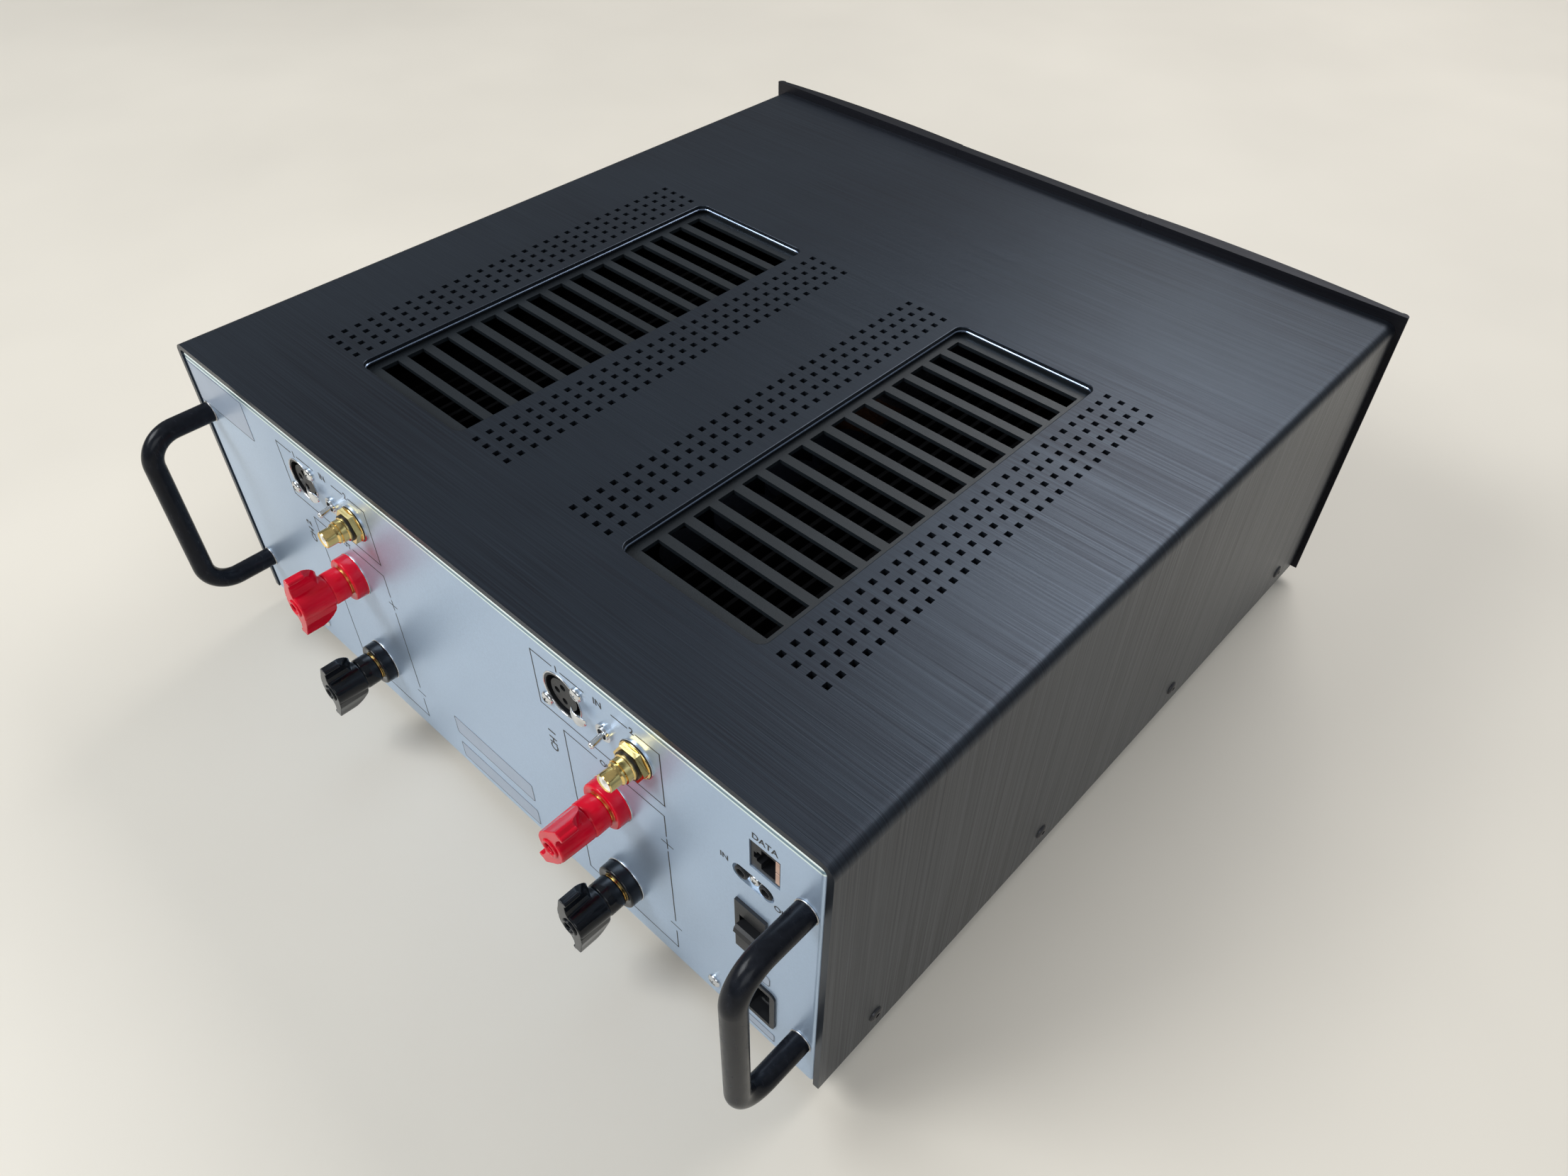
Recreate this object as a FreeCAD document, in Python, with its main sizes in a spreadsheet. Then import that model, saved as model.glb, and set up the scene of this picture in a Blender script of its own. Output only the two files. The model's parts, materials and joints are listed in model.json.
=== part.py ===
"""Two-channel power amplifier as a parametric FreeCAD document, in millimetres.

Frame: +Z up, front faces -Y, connector panel faces +Y. The origin is on the floor,
under the middle of the whole object's box. Every driving size is a cell of the sheet.
"""
import FreeCAD, Part
import math
import os
import Sketcher

App = FreeCAD
os.makedirs("parts", exist_ok=True)
doc = App.newDocument("PowerAmplifier")
sheet = doc.addObject("Spreadsheet::Sheet", "Sheet")

SIZES = {
    # casing
    "cover_width": 434, "cover_depth": 439, "cover_height": 168,
    "cover_wall": 3, "cover_bend": 6, "case_floor": 12,
    "sheet_metal": 2, "fold_gap": 0.5, "tray_height": 17, "panel_recess": 0.5,
    "panel_top": 164.8, "panel_rim": 12, "panel_edge": 2.2, "subpanel_wall": 3,
    # ventilation
    "vent_inner": 54.5, "vent_width": 80, "vent_start": 156, "vent_length": 230.5,
    "vent_corner": 5, "grille_margin": 6, "grille_drop": 4.6, "grille_wall": 2,
    "slot_count": 15, "slot_pitch": 14.67, "slot_width": 9.5, "slot_length": 71,
    "hole_side": 3, "hole_pitch": 7.5, "hole_columns": 4, "hole_rows": 31,
    "hole_start": 158.5, "inner_column": 22.5, "outer_column": 142,
    # cover screws, measured from the cover's front edge
    "side_screw_first": 30.5, "side_screw_pitch": 124.2, "side_screw_height": 13.5,
    "side_screw_head": 4, "side_screw_proud": 1.2, "side_screw_shank": 2,
    # front panel
    "front_width": 440, "front_bottom": 2.4, "front_top": 173.3, "centre_width": 132,
    "centre_depth": 7.4, "cheek_depth": 9, "cheek_inner": 7.6, "cheek_outer": 3.6,
    "cheek_radius": 950, "cheek_corner": 3, "front_edge": 1.2, "front_groove": 1,
    "button_radius": 7, "button_proud": 1.2, "button_depth": 9, "button_fit": 0.3,
    "button_height": 62, "light_radius": 1.6, "light_gap": 16,
    # rear handles
    "handle_spacing": 412, "handle_reach": 36, "handle_radius": 5.25, "handle_bend": 16,
    "handle_top": 131, "handle_bottom": 29.5, "washer_radius": 6.4, "washer_wall": 0.8,
    "handle_screw": 2.5, "handle_screw_head": 4.5,
    # channels: the second channel is one pitch towards +X from the first
    "channel_first": -100.5, "channel_pitch": 190, "input_height": 138,
    "xlr_offset": 23.5, "toggle_offset": -2, "rca_offset": -20,
    "xlr_hole": 11.2, "xlr_shell": 11, "xlr_bore": 9.9, "xlr_insert": 7.8,
    "xlr_depth": 20, "xlr_contact": 1.6, "xlr_contact_bore": 1.2, "xlr_contact_ring": 4,
    "xlr_screw_x": 10.4, "xlr_screw_z": 9.5, "latch_width": 6.4, "latch_wall": 0.8,
    "latch_reach": 17.4, "latch_root": 9.4, "latch_lift": 1.6, "latch_flare": 3.8,
    "latch_pivot": 0.7,
    "pan_head": 2.8, "pan_height": 1.8, "pan_shank": 1.5, "pan_length": 9,
    "toggle_bush": 3.1, "toggle_bore": 2.45, "toggle_nut": 4.3, "toggle_nut_wall": 1.2,
    "toggle_ball": 2, "toggle_root": 1.2, "toggle_neck": 1.6, "toggle_tip": 1.5,
    "toggle_length": 9.4, "toggle_pivot": 1, "toggle_tilt": 12.5, "toggle_pin": 0.5,
    "rca_nut": 17.3, "rca_nut_start": 0.8, "rca_nut_end": 4.2, "rca_ring": 6.5,
    "rca_flange": 5.9, "rca_body": 5.4, "rca_lug": 4.9, "rca_barrel": 4.15,
    "rca_wall": 0.55, "rca_reach": 16.2, "rca_sleeve_bore": 1.6, "rca_depth": 10,
    # binding posts
    "post_height": 61.7, "post_spacing": 62, "collar_radius": 12, "collar_front": 11.6,
    "collar_depth": 6, "collar_edge": 0.9, "stud_radius": 4, "stud_tip": 29.5,
    "stud_tail": 24, "flange_radius": 7.5, "flange_wall": 0.8, "banana_radius": 2,
    "banana_depth": 21, "post_washer": 7.2, "post_washer_wall": 0.9, "post_fit": 0.05,
    "knob_rear": 8.4, "knob_neck": 15.5, "knob_front": 7.4, "knob_face": 32,
    "knob_end_wall": 1, "knob_rim": 4.4, "knob_rim_height": 1.2, "knob_hole": 2.4,
    "wing_span": 17.8, "wing_wall": 5, "wing_root": 14.5, "wing_start": 21.5,
    "wing_round": 5, "knob_edge": 0.7,
    # signal and mains connectors, X from the middle and Z from the cover's lower edge
    "network_x": -186, "network_z": 137.9, "network_width": 14.7, "network_height": 17,
    "network_depth": 19, "network_cavity": 13, "network_mouth": 11.8,
    "trigger_x": -180.2, "trigger_z": 119.3, "trigger_pitch": 12.2, "trigger_length": 20.8,
    "trigger_width": 9, "trigger_barrel": 3.2, "trigger_bore": 1.8, "trigger_depth": 14,
    "rocker_x": -179.5, "rocker_z": 83, "rocker_width": 16, "rocker_height": 34,
    "rocker_rim": 1.4, "rocker_body": 13.4, "rocker_body_height": 31, "rocker_depth": 20,
    "rocker_slot": 11, "rocker_slot_height": 17, "rocker_drum": 7, "rocker_pivot": 6,
    "rocker_blade": 6, "rocker_reach": 11.5, "rocker_play": 0.4, "rocker_tilt": 15,
    "inlet_x": -181, "inlet_z": 32, "inlet_width": 22, "inlet_height": 29.4,
    "inlet_rim": 1, "inlet_corner": 3, "inlet_body": 20, "inlet_body_height": 27.4,
    "inlet_depth": 22, "inlet_mouth": 16.8, "inlet_mouth_height": 24.2,
    "inlet_cavity": 17, "inlet_pin": 2, "inlet_pin_height": 4, "inlet_pin_reach": 12.5,
    "chassis_screw_x": 156, "chassis_screw_z": 11.5, "chassis_screw_head": 3.4,
    # feet
    "foot_radius": 21, "foot_x": 172, "foot_y": 168, "foot_edge": 1.5,
    "pad_radius": 16, "pad_proud": 2, "pad_recess": 1.5,
    # inside
    "core_radius": 78, "core_bore": 26, "core_height": 84, "core_y": -140,
    "clamp_radius": 48, "clamp_wall": 3, "clamp_bolt": 4,
    "can_radius": 17.5, "can_height": 82, "can_pitch": 38, "can_y": -35,
    "sink_x": 139, "sink_wall": 8, "sink_fin": 2, "sink_fins": 10, "sink_fin_pitch": 8,
    "sink_height": 128, "sink_length": 230, "sink_lift": 12,
    "transistor_count": 6, "transistor_pitch": 36, "transistor_width": 16,
    "transistor_height": 21, "transistor_wall": 5, "board_wall": 1.6,
    "amp_board_height": 96, "amp_board_length": 200,
    "input_board_width": 300, "input_board_height": 34, "input_board_gap": 24,
    "supply_board_width": 80, "supply_board_margin": 23,
    "rectifier_side": 28, "rectifier_height": 11, "rectifier_pitch": 44,
    "rectifier_y": 128, "edge_ease": 0.5, "fit_gap": 0.1,
}


class Size:
    """A length together with the spreadsheet formula that it comes from."""

    def __init__(self, value, text):
        self.value = float(value)
        self.text = text

    def join(self, sign, other, swap=False):
        other = other if isinstance(other, Size) else Size(other, repr(float(other)))
        left, right = (other, self) if swap else (self, other)
        results = {"+": lambda: left.value + right.value, "-": lambda: left.value - right.value,
                   "*": lambda: left.value * right.value, "/": lambda: left.value / right.value}
        return Size(results[sign](), "(%s %s %s)" % (left.text, sign, right.text))

    def __add__(self, other):
        return self.join("+", other)

    def __radd__(self, other):
        return self.join("+", other, True)

    def __sub__(self, other):
        return self.join("-", other)

    def __rsub__(self, other):
        return self.join("-", other, True)

    def __mul__(self, other):
        return self.join("*", other)

    def __rmul__(self, other):
        return self.join("*", other, True)

    def __truediv__(self, other):
        return self.join("/", other)

    def __neg__(self):
        return self.join("-", 0.0, True)


class Cells:
    """The sheet's cells as attributes, each one a Size."""


cells = Cells()
for row, (alias, value) in enumerate(SIZES.items(), start=1):
    sheet.set("A%d" % row, alias)
    sheet.set("B%d" % row, repr(value))
    sheet.setAlias("B%d" % row, alias)
    setattr(cells, alias, Size(value, "Sheet." + alias))
doc.recompute()

# Shared reference lines: the cover's front edge, the rear panel's face and the case floor.
FRONT = (cells.cheek_depth + cells.panel_recess - cells.cover_depth - cells.handle_reach
         - cells.handle_radius) / 2
REAR = FRONT + cells.cover_depth - cells.panel_recess
FLOOR = cells.case_floor
TOWARDS_Y = App.Rotation(App.Vector(1, 0, 0), -90)
TOWARDS_X = App.Rotation(App.Vector(0, 1, 0), 90)
UPWARDS = App.Rotation()
nodes = []


def size(value):
    """Any number as a Size, so that plain counts and cells mix."""
    return value if isinstance(value, Size) else Size(value, repr(float(value)))


def bind(obj, name, value):
    """Ties a property of an object to the sheet."""
    obj.setExpression(name, size(value).text)


def place(obj, x=0, y=0, z=0, turn=UPWARDS):
    """Sets an object's rotation, and ties its position to the sheet."""
    obj.Placement = App.Placement(App.Vector(), turn)
    for axis, value in zip("xyz", (x, y, z)):
        bind(obj, "Placement.Base." + axis, value)
    return obj


def node(obj, label):
    """Names a finished sub-part."""
    obj.Label = label
    nodes.append(obj)
    return obj


# ---- Part primitives and booleans ----

def box(name, x, y, z):
    """A block between the two limits given for each axis."""
    obj = doc.addObject("Part::Box", name)
    for prop, (low, high) in zip(("Length", "Width", "Height"), (x, y, z)):
        bind(obj, prop, size(high) - low)
    return place(obj, x[0], y[0], z[0])


def rod(name, radius, length, x=0, y=0, z=0, turn=TOWARDS_Y):
    """A round bar that starts at the given point."""
    obj = doc.addObject("Part::Cylinder", name)
    bind(obj, "Radius", radius)
    bind(obj, "Height", length)
    return place(obj, x, y, z, turn)


def hexagon(name, across, length, x=0, y=0, z=0, turn=TOWARDS_Y):
    """A hexagonal bar, measured across its corners."""
    obj = doc.addObject("Part::Prism", name)
    obj.Polygon = 6
    bind(obj, "Circumradius", across / 2)
    bind(obj, "Height", length)
    return place(obj, x, y, z, turn)


def fuse(name, *parts):
    obj = doc.addObject("Part::MultiFuse", name)
    obj.Shapes = list(parts)
    obj.Refine = True
    return obj


def group(name, parts):
    """Separate solids that share one node."""
    obj = doc.addObject("Part::Compound", name)
    obj.Links = list(parts)
    return obj


def cut(name, base, *tools):
    obj = doc.addObject("Part::Cut", name)
    obj.Base = base
    obj.Tool = tools[0] if len(tools) == 1 else group(name + "_tools", tools)
    return obj


# ---- PartDesign sketches and features ----

def body(name):
    return doc.addObject("PartDesign::Body", name)


def sketch(owner, role, name, offset=0):
    """An empty sketch on one of the body's own origin planes, moved along its normal."""
    plane = next(item for item in owner.Origin.OriginFeatures if item.Role == role)
    obj = owner.newObject("Sketcher::SketchObject", name)
    obj.AttachmentSupport = [(plane, "")]
    obj.MapMode = "FlatFace"
    bind(obj, "AttachmentOffset.Base.z", offset)
    return obj


def pin(obj, index, end, point):
    """Ties one end of an edge to sheet sizes, measured from the sketch's origin."""
    for kind, axis, value in (("DistanceX", -2, size(point[0])), ("DistanceY", -1, size(point[1]))):
        if abs(value.value) < 1e-9:
            obj.addConstraint(Sketcher.Constraint("PointOnObject", index, end, axis))
        else:
            number = obj.addConstraint(Sketcher.Constraint(kind, -1, 1, index, end, value.value))
            bind(obj, "Constraints[%d]" % number, value)


def outline(obj, points, bends=None, closed=True):
    """Edges through the points. bends maps an edge to its radius, positive to bulge to its left."""
    bends = bends or {}
    spots = [App.Vector(size(a).value, size(b).value, 0) for a, b in points]
    count = len(points) if closed else len(points) - 1
    ends = []
    for edge in range(count):
        start, end = spots[edge], spots[(edge + 1) % len(spots)]
        if edge not in bends:
            index = obj.addGeometry(Part.LineSegment(start, end), False)
            ends.append((index, 1, 2))
            continue
        radius = size(bends[edge])
        chord = end - start
        across = App.Vector(-chord.y, chord.x, 0).normalize()
        reach = math.sqrt(radius.value ** 2 - (chord.Length / 2) ** 2)
        centre = start + chord / 2 - across * math.copysign(reach, radius.value)
        first, last = (start, end) if radius.value < 0 else (end, start)
        angles = [math.atan2(spot.y - centre.y, spot.x - centre.x) for spot in (first, last)]
        round_edge = Part.Circle(centre, App.Vector(0, 0, 1), abs(radius.value))
        index = obj.addGeometry(Part.ArcOfCircle(round_edge, *angles), False)
        ends.append((index, 1, 2) if radius.value < 0 else (index, 2, 1))
        number = obj.addConstraint(Sketcher.Constraint("Radius", index, abs(radius.value)))
        bind(obj, "Constraints[%d]" % number, radius if radius.value > 0 else -radius)
    for edge in range(count):
        index, first, last = ends[edge]
        pin(obj, index, first, points[edge])
        if closed or edge + 1 < count:
            after = ends[(edge + 1) % count]
            obj.addConstraint(Sketcher.Constraint("Coincident", index, last, after[0], after[1]))
        else:
            pin(obj, index, last, points[edge + 1])
    return obj


def circle(obj, radius, x=0, y=0):
    index = obj.addGeometry(Part.Circle(App.Vector(size(x).value, size(y).value, 0),
                                        App.Vector(0, 0, 1), size(radius).value), False)
    number = obj.addConstraint(Sketcher.Constraint("Radius", index, size(radius).value))
    bind(obj, "Constraints[%d]" % number, radius)
    pin(obj, index, 3, (x, y))


def rectangle(obj, x, y, corner=None):
    """A rectangle between limits, with an optional corner radius."""
    (left, right), (low, high) = x, y
    if corner is None:
        return outline(obj, [(left, low), (right, low), (right, high), (left, high)])
    points = [(left + corner, low), (right - corner, low), (right, low + corner),
              (right, high - corner), (right - corner, high), (left + corner, high),
              (left, high - corner), (left, low + corner)]
    return outline(obj, points, {1: -corner, 3: -corner, 5: -corner, 7: -corner})


def pad(owner, profile, length, reverse=False):
    """Thickens a profile along its plane's normal, or against it."""
    obj = owner.newObject("PartDesign::Pad", profile.Name + "_pad")
    obj.Profile = profile
    obj.Reversed = reverse
    bind(obj, "Length", length)
    doc.recompute()
    return obj


def pocket(owner, profile, length, reverse=False):
    """Removes material and makes sure that some was there."""
    before = owner.Shape.Volume
    obj = owner.newObject("PartDesign::Pocket", profile.Name + "_pocket")
    obj.Profile = profile
    obj.Reversed = reverse
    bind(obj, "Length", length)
    doc.recompute()
    if owner.Shape.Volume > before - 1e-3:
        raise RuntimeError(profile.Name + " cuts nothing")
    return obj


def revolve(owner, profile, axis="V_Axis"):
    obj = owner.newObject("PartDesign::Revolution", profile.Name + "_turn")
    obj.Profile = profile
    obj.ReferenceAxis = (profile, [axis])
    doc.recompute()
    return obj


def soften(owner, radius, test, kind="PartDesign::Fillet"):
    """Rounds or chamfers every edge of the body's tip whose middle point passes a test."""
    base = owner.Tip
    names = []
    for index, edge in enumerate(base.Shape.Edges, start=1):
        middle = edge.valueAt((edge.FirstParameter + edge.LastParameter) / 2)
        if test(middle, edge):
            names.append("Edge%d" % index)
    obj = owner.newObject(kind, "%s_edges_%d" % (owner.Name, len(owner.Group)))
    obj.Base = (base, names)
    bind(obj, "Size" if kind.endswith("Chamfer") else "Radius", radius)
    doc.recompute()
    return obj


def turned(name, profile):
    """A body of revolution about its own Y axis; the profile holds radius and distance along Y."""
    obj = body(name)
    revolve(obj, outline(sketch(obj, "XY_Plane", name + "_profile"), profile))
    return obj


def near(value, target):
    return abs(value - size(target).value) < 1e-3


# ---- Casing ----

def make_top_cover():
    """A brushed sheet bent down at both sides, with two vents and four fields of square holes."""
    cover = body("cover_sheet")
    half, wall, high = cells.cover_width / 2, cells.cover_wall, cells.cover_height
    profile = outline(sketch(cover, "XZ_Plane", "cover_profile"), [
        (-half, 0), (-half + wall, 0), (-half + wall, high - wall), (half - wall, high - wall),
        (half - wall, 0), (half, 0), (half, high), (-half, high)])
    pad(cover, profile, cells.cover_depth, reverse=True)
    soften(cover, cells.cover_bend,
           lambda p, e: near(abs(p.x), half) and near(p.z, high))
    soften(cover, cells.cover_bend - wall,
           lambda p, e: near(abs(p.x), half - wall) and near(p.z, high - wall))
    vent = sketch(cover, "XY_Plane", "cover_vent", high)
    for side in (1, -1):
        inner, outer = cells.vent_inner, cells.vent_inner + cells.vent_width
        limits = (inner, outer) if side > 0 else (-outer, -inner)
        rectangle(vent, limits, (cells.vent_start, cells.vent_start + cells.vent_length),
                  cells.vent_corner)
    pocket(cover, vent, wall)
    soften(cover, cells.edge_ease, lambda p, e: near(p.z, high) and 50 < abs(p.x) < 140
           and cells.vent_start.value - 1 < p.y < cells.cover_depth.value - 20)
    screws = sketch(cover, "YZ_Plane", "cover_screw_holes", half)
    for index in range(4):
        circle(screws, cells.side_screw_shank + 0.2,
               cells.side_screw_first + index * cells.side_screw_pitch, cells.side_screw_height)
    pocket(cover, screws, cells.cover_width)
    place(cover, 0, FRONT, FLOOR)
    perforations = doc.addObject("Part::Feature", "cover_perforations")
    perforations.Shape = perforation_blocks()
    place(perforations, 0, FRONT, FLOOR + high)
    return node(cut("top_cover", cover, perforations), "top_cover")


def perforation_blocks():
    """One block for each small square hole: two fields of columns on each side of the middle."""
    side, pitch, deep = cells.hole_side.value, cells.hole_pitch.value, cells.cover_wall.value
    blocks = []
    for column in (cells.inner_column.value, cells.outer_column.value):
        for index in range(int(cells.hole_columns.value)):
            for sign in (1, -1):
                x = sign * (column + index * pitch) - side / 2
                for row in range(int(cells.hole_rows.value)):
                    y = cells.hole_start.value + row * pitch - side / 2
                    blocks.append(Part.makeBox(side, side, deep + 2, App.Vector(x, y, -deep - 1)))
    return Part.makeCompound(blocks)


def make_base_tray():
    """The floor of the case, a tray with its four edges folded up."""
    tray = body("base_tray")
    half = cells.cover_width / 2 - cells.cover_wall - cells.fold_gap
    metal = cells.sheet_metal
    length = cells.cover_depth - cells.panel_recess - cells.subpanel_wall - metal
    floor = rectangle(sketch(tray, "XY_Plane", "tray_outline"), (-half, half), (0, length))
    pad(tray, floor, cells.tray_height)
    inside = rectangle(sketch(tray, "XY_Plane", "tray_inside", cells.tray_height),
                       (-half + metal, half - metal), (metal, length - metal))
    pocket(tray, inside, cells.tray_height - metal)
    soften(tray, metal / 2, lambda p, e: near(p.z, 0))
    sides = sketch(tray, "YZ_Plane", "tray_side_holes", half)
    for index in range(4):
        circle(sides, cells.side_screw_shank + 0.2,
               cells.side_screw_first + index * cells.side_screw_pitch - cells.subpanel_wall,
               cells.side_screw_height - 1)
    pocket(tray, sides, half * 2)
    back = sketch(tray, "XZ_Plane", "tray_back_holes", -length)
    for side in (1, -1):
        circle(back, cells.pan_shank, side * cells.chassis_screw_x, cells.chassis_screw_z - 1)
    pocket(tray, back, metal, reverse=True)
    place(tray, 0, FRONT + cells.subpanel_wall, FLOOR + 1)
    return node(tray, "base_tray")


def channel_x(channel, offset=0):
    """X of a connector column of the first or second channel."""
    return cells.channel_first + channel * cells.channel_pitch + offset


def make_rear_panel():
    """The connector panel: a folded sheet with rounded rims and every connector's opening."""
    panel = body("rear_panel")
    half = cells.cover_width / 2 - cells.cover_wall - cells.fold_gap
    metal, low, high = cells.sheet_metal, size(1), cells.panel_top
    face = rectangle(sketch(panel, "XZ_Plane", "panel_outline"), (-half, half), (low, high))
    pad(panel, face, cells.panel_rim)
    soften(panel, cells.cover_wall, lambda p, e: near(abs(p.x), half) and near(p.z, high))
    inside = rectangle(sketch(panel, "XZ_Plane", "panel_inside", metal),
                       (-half + metal, half - metal), (low - 1, high - metal))
    pocket(panel, inside, cells.panel_rim, reverse=True)
    sides = sketch(panel, "XZ_Plane", "panel_tray_room", metal)
    rectangle(sides, (-half - 1, half + 1), (low - 1, low + cells.tray_height + 1))
    pocket(panel, sides, cells.panel_rim, reverse=True)
    soften(panel, cells.panel_edge, lambda p, e: near(p.y, 0) and not near(p.z, low))
    holes = sketch(panel, "XZ_Plane", "panel_holes")
    for channel in range(2):
        circle(holes, cells.xlr_hole, channel_x(channel, cells.xlr_offset), cells.input_height)
        circle(holes, cells.toggle_bush + cells.fit_gap, channel_x(channel, cells.toggle_offset),
               cells.input_height)
        circle(holes, cells.rca_body, channel_x(channel, cells.rca_offset), cells.input_height)
        for side in (1, -1):
            circle(holes, cells.stud_radius + 1, channel_x(channel),
                   cells.post_height + side * cells.post_spacing / 2)
            circle(holes, cells.pan_shank,
                   channel_x(channel, cells.xlr_offset) - side * cells.xlr_screw_x,
                   cells.input_height + side * cells.xlr_screw_z)
    for side in (1, -1):
        circle(holes, cells.pan_shank, side * cells.chassis_screw_x, cells.chassis_screw_z)
        for height in (cells.handle_top, cells.handle_bottom):
            circle(holes, cells.handle_screw + cells.fit_gap, side * cells.handle_spacing / 2,
                   height)
    for prefix, width, height, corner in (
            ("network", cells.network_width, cells.network_height, None),
            ("trigger", cells.trigger_length, cells.trigger_width, cells.trigger_width / 2 - 0.1),
            ("rocker", cells.rocker_body, cells.rocker_body_height, None),
            ("inlet", cells.inlet_body, cells.inlet_body_height, cells.inlet_corner - 1)):
        x, z = getattr(cells, prefix + "_x"), getattr(cells, prefix + "_z")
        rectangle(holes, (x - width / 2, x + width / 2), (z - height / 2, z + height / 2), corner)
    pocket(panel, holes, metal, reverse=True)
    place(panel, 0, REAR, FLOOR)
    return node(panel, "rear_panel")


def make_front():
    """The plate behind the front, the flat centre panel and the two bowed cheeks."""
    half = cells.cover_width / 2 - cells.cover_wall - cells.fold_gap
    button_z = cells.button_height
    plate = box("subpanel_plate", (1 - half, half - 1), (FRONT, FRONT + cells.subpanel_wall),
                (FLOOR + 1, FLOOR + cells.panel_top - 1))
    room = rod("subpanel_button_room", cells.button_radius + 1, cells.subpanel_wall,
               0, FRONT, FLOOR + button_z)
    window = rod("subpanel_light_room", cells.light_radius + 1, cells.subpanel_wall,
                 0, FRONT, FLOOR + button_z + cells.light_gap)
    node(cut("front_subpanel", plate, room, window), "front_subpanel")

    low, high, edge = -cells.front_bottom, cells.front_top, cells.front_edge
    centre = body("front_panel_centre")
    side = cells.centre_width / 2
    face = outline(sketch(centre, "XY_Plane", "centre_outline", low), [
        (-side, 0), (-side, -cells.centre_depth + edge), (-side + edge, -cells.centre_depth),
        (side - edge, -cells.centre_depth), (side, -cells.centre_depth + edge), (side, 0)])
    pad(centre, face, high - low)
    soften(centre, edge, lambda p, e: near(p.y, -cells.centre_depth) and not near(abs(p.x), side)
           and (near(p.z, low) or near(p.z, high)))
    openings = sketch(centre, "XZ_Plane", "centre_openings")
    circle(openings, cells.button_radius + cells.button_fit, 0, button_z)
    circle(openings, cells.light_radius, 0, button_z + cells.light_gap)
    pocket(centre, openings, cells.centre_depth, reverse=True)
    place(centre, 0, FRONT, FLOOR)
    node(centre, "front_panel_centre")

    for label, sign in (("front_cheek_left", -1), ("front_cheek_right", 1)):
        cheek = body(label)
        inner, outer = side + 0.1, cells.front_width / 2
        points = [(inner, 0), (inner, -cells.cheek_inner + cells.front_groove),
                  (inner + cells.front_groove, -cells.cheek_inner),
                  (outer - cells.cheek_corner, -cells.cheek_outer),
                  (outer, -cells.cheek_outer + cells.cheek_corner), (outer, 0)]
        bulge = -cells.cheek_radius
        corner = -cells.cheek_corner
        if sign < 0:
            points = [(-x, y) for x, y in points]
            bulge, corner = cells.cheek_radius, cells.cheek_corner
        shape = outline(sketch(cheek, "XY_Plane", label + "_outline", low), points,
                        {2: bulge, 3: corner})
        pad(cheek, shape, high - low)
        soften(cheek, edge / 2, lambda p, e: p.y < -0.5 and (near(p.z, low) or near(p.z, high))
               and e.Length > 20, "PartDesign::Chamfer")
        place(cheek, 0, FRONT, FLOOR)
        node(cheek, label)


def make_standby_button():
    """A sprung button in the middle of the front with a small light above it."""
    face = FRONT - cells.centre_depth - cells.button_proud
    button = turned("standby_button", [
        (0, 0), (cells.button_radius - 0.8, 0), (cells.button_radius, 0.8),
        (cells.button_radius, cells.button_depth), (0, cells.button_depth)])
    place(button, 0, face, FLOOR + cells.button_height)
    node(button, "standby_button")
    light = rod("status_light", cells.light_radius, cells.centre_depth, 0,
                FRONT - cells.centre_depth, FLOOR + cells.button_height + cells.light_gap)
    node(light, "status_light")


def make_grilles():
    """Slotted plates with a raised border, held under the cover's two vents."""
    for label, side in (("vent_grille_left", -1), ("vent_grille_right", 1)):
        grille = body(label)
        middle = side * (cells.vent_inner + cells.vent_width / 2)
        half = cells.vent_width / 2 + cells.grille_margin
        reach = cells.vent_length / 2 + cells.grille_margin
        rim = cells.grille_drop - cells.cover_wall
        pad(grille, rectangle(sketch(grille, "XY_Plane", label + "_outline"), (-half, half),
                              (-reach, reach)), cells.grille_wall + rim)
        inner, along = half - cells.grille_margin, reach - cells.grille_margin
        inside = rectangle(sketch(grille, "XY_Plane", label + "_dish", cells.grille_wall + rim),
                           (-inner - 1, inner + 1), (-along - 1, along + 1))
        pocket(grille, inside, rim)
        slots = sketch(grille, "XY_Plane", label + "_slots", cells.grille_wall)
        for index in range(int(cells.slot_count.value)):
            y = (index - (cells.slot_count - 1) / 2) * cells.slot_pitch
            rectangle(slots, (-cells.slot_length / 2, cells.slot_length / 2),
                      (y - cells.slot_width / 2, y + cells.slot_width / 2))
        pocket(grille, slots, cells.grille_wall)
        place(grille, middle, FRONT + cells.vent_start + cells.vent_length / 2,
              FLOOR + cells.cover_height - cells.grille_drop - cells.grille_wall)
        node(grille, label)


# ---- Fasteners ----

def pan_screw(name, x, y, z, head=cells.pan_head):
    """A pan-head screw through the rear panel, its head outside."""
    screw = turned(name, [
        (0, -cells.pan_length), (cells.pan_shank - 0.1, -cells.pan_length),
        (cells.pan_shank - 0.1, 0), (head, 0), (head, cells.pan_height * 0.45),
        (head * 0.62, cells.pan_height), (0, cells.pan_height)])
    cross = body(name + "_cross")
    slot = outline(sketch(cross, "XZ_Plane", name + "_slot"), [
        (-1.4, -0.3), (-0.3, -0.3), (-0.3, -1.4), (0.3, -1.4), (0.3, -0.3), (1.4, -0.3),
        (1.4, 0.3), (0.3, 0.3), (0.3, 1.4), (-0.3, 1.4), (-0.3, 0.3), (-1.4, 0.3)])
    pad(cross, slot, 1.2, reverse=True)
    place(cross, 0, cells.pan_height - 0.9, 0)
    return place(cut(name + "_cut", screw, cross), x, y, z)


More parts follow.
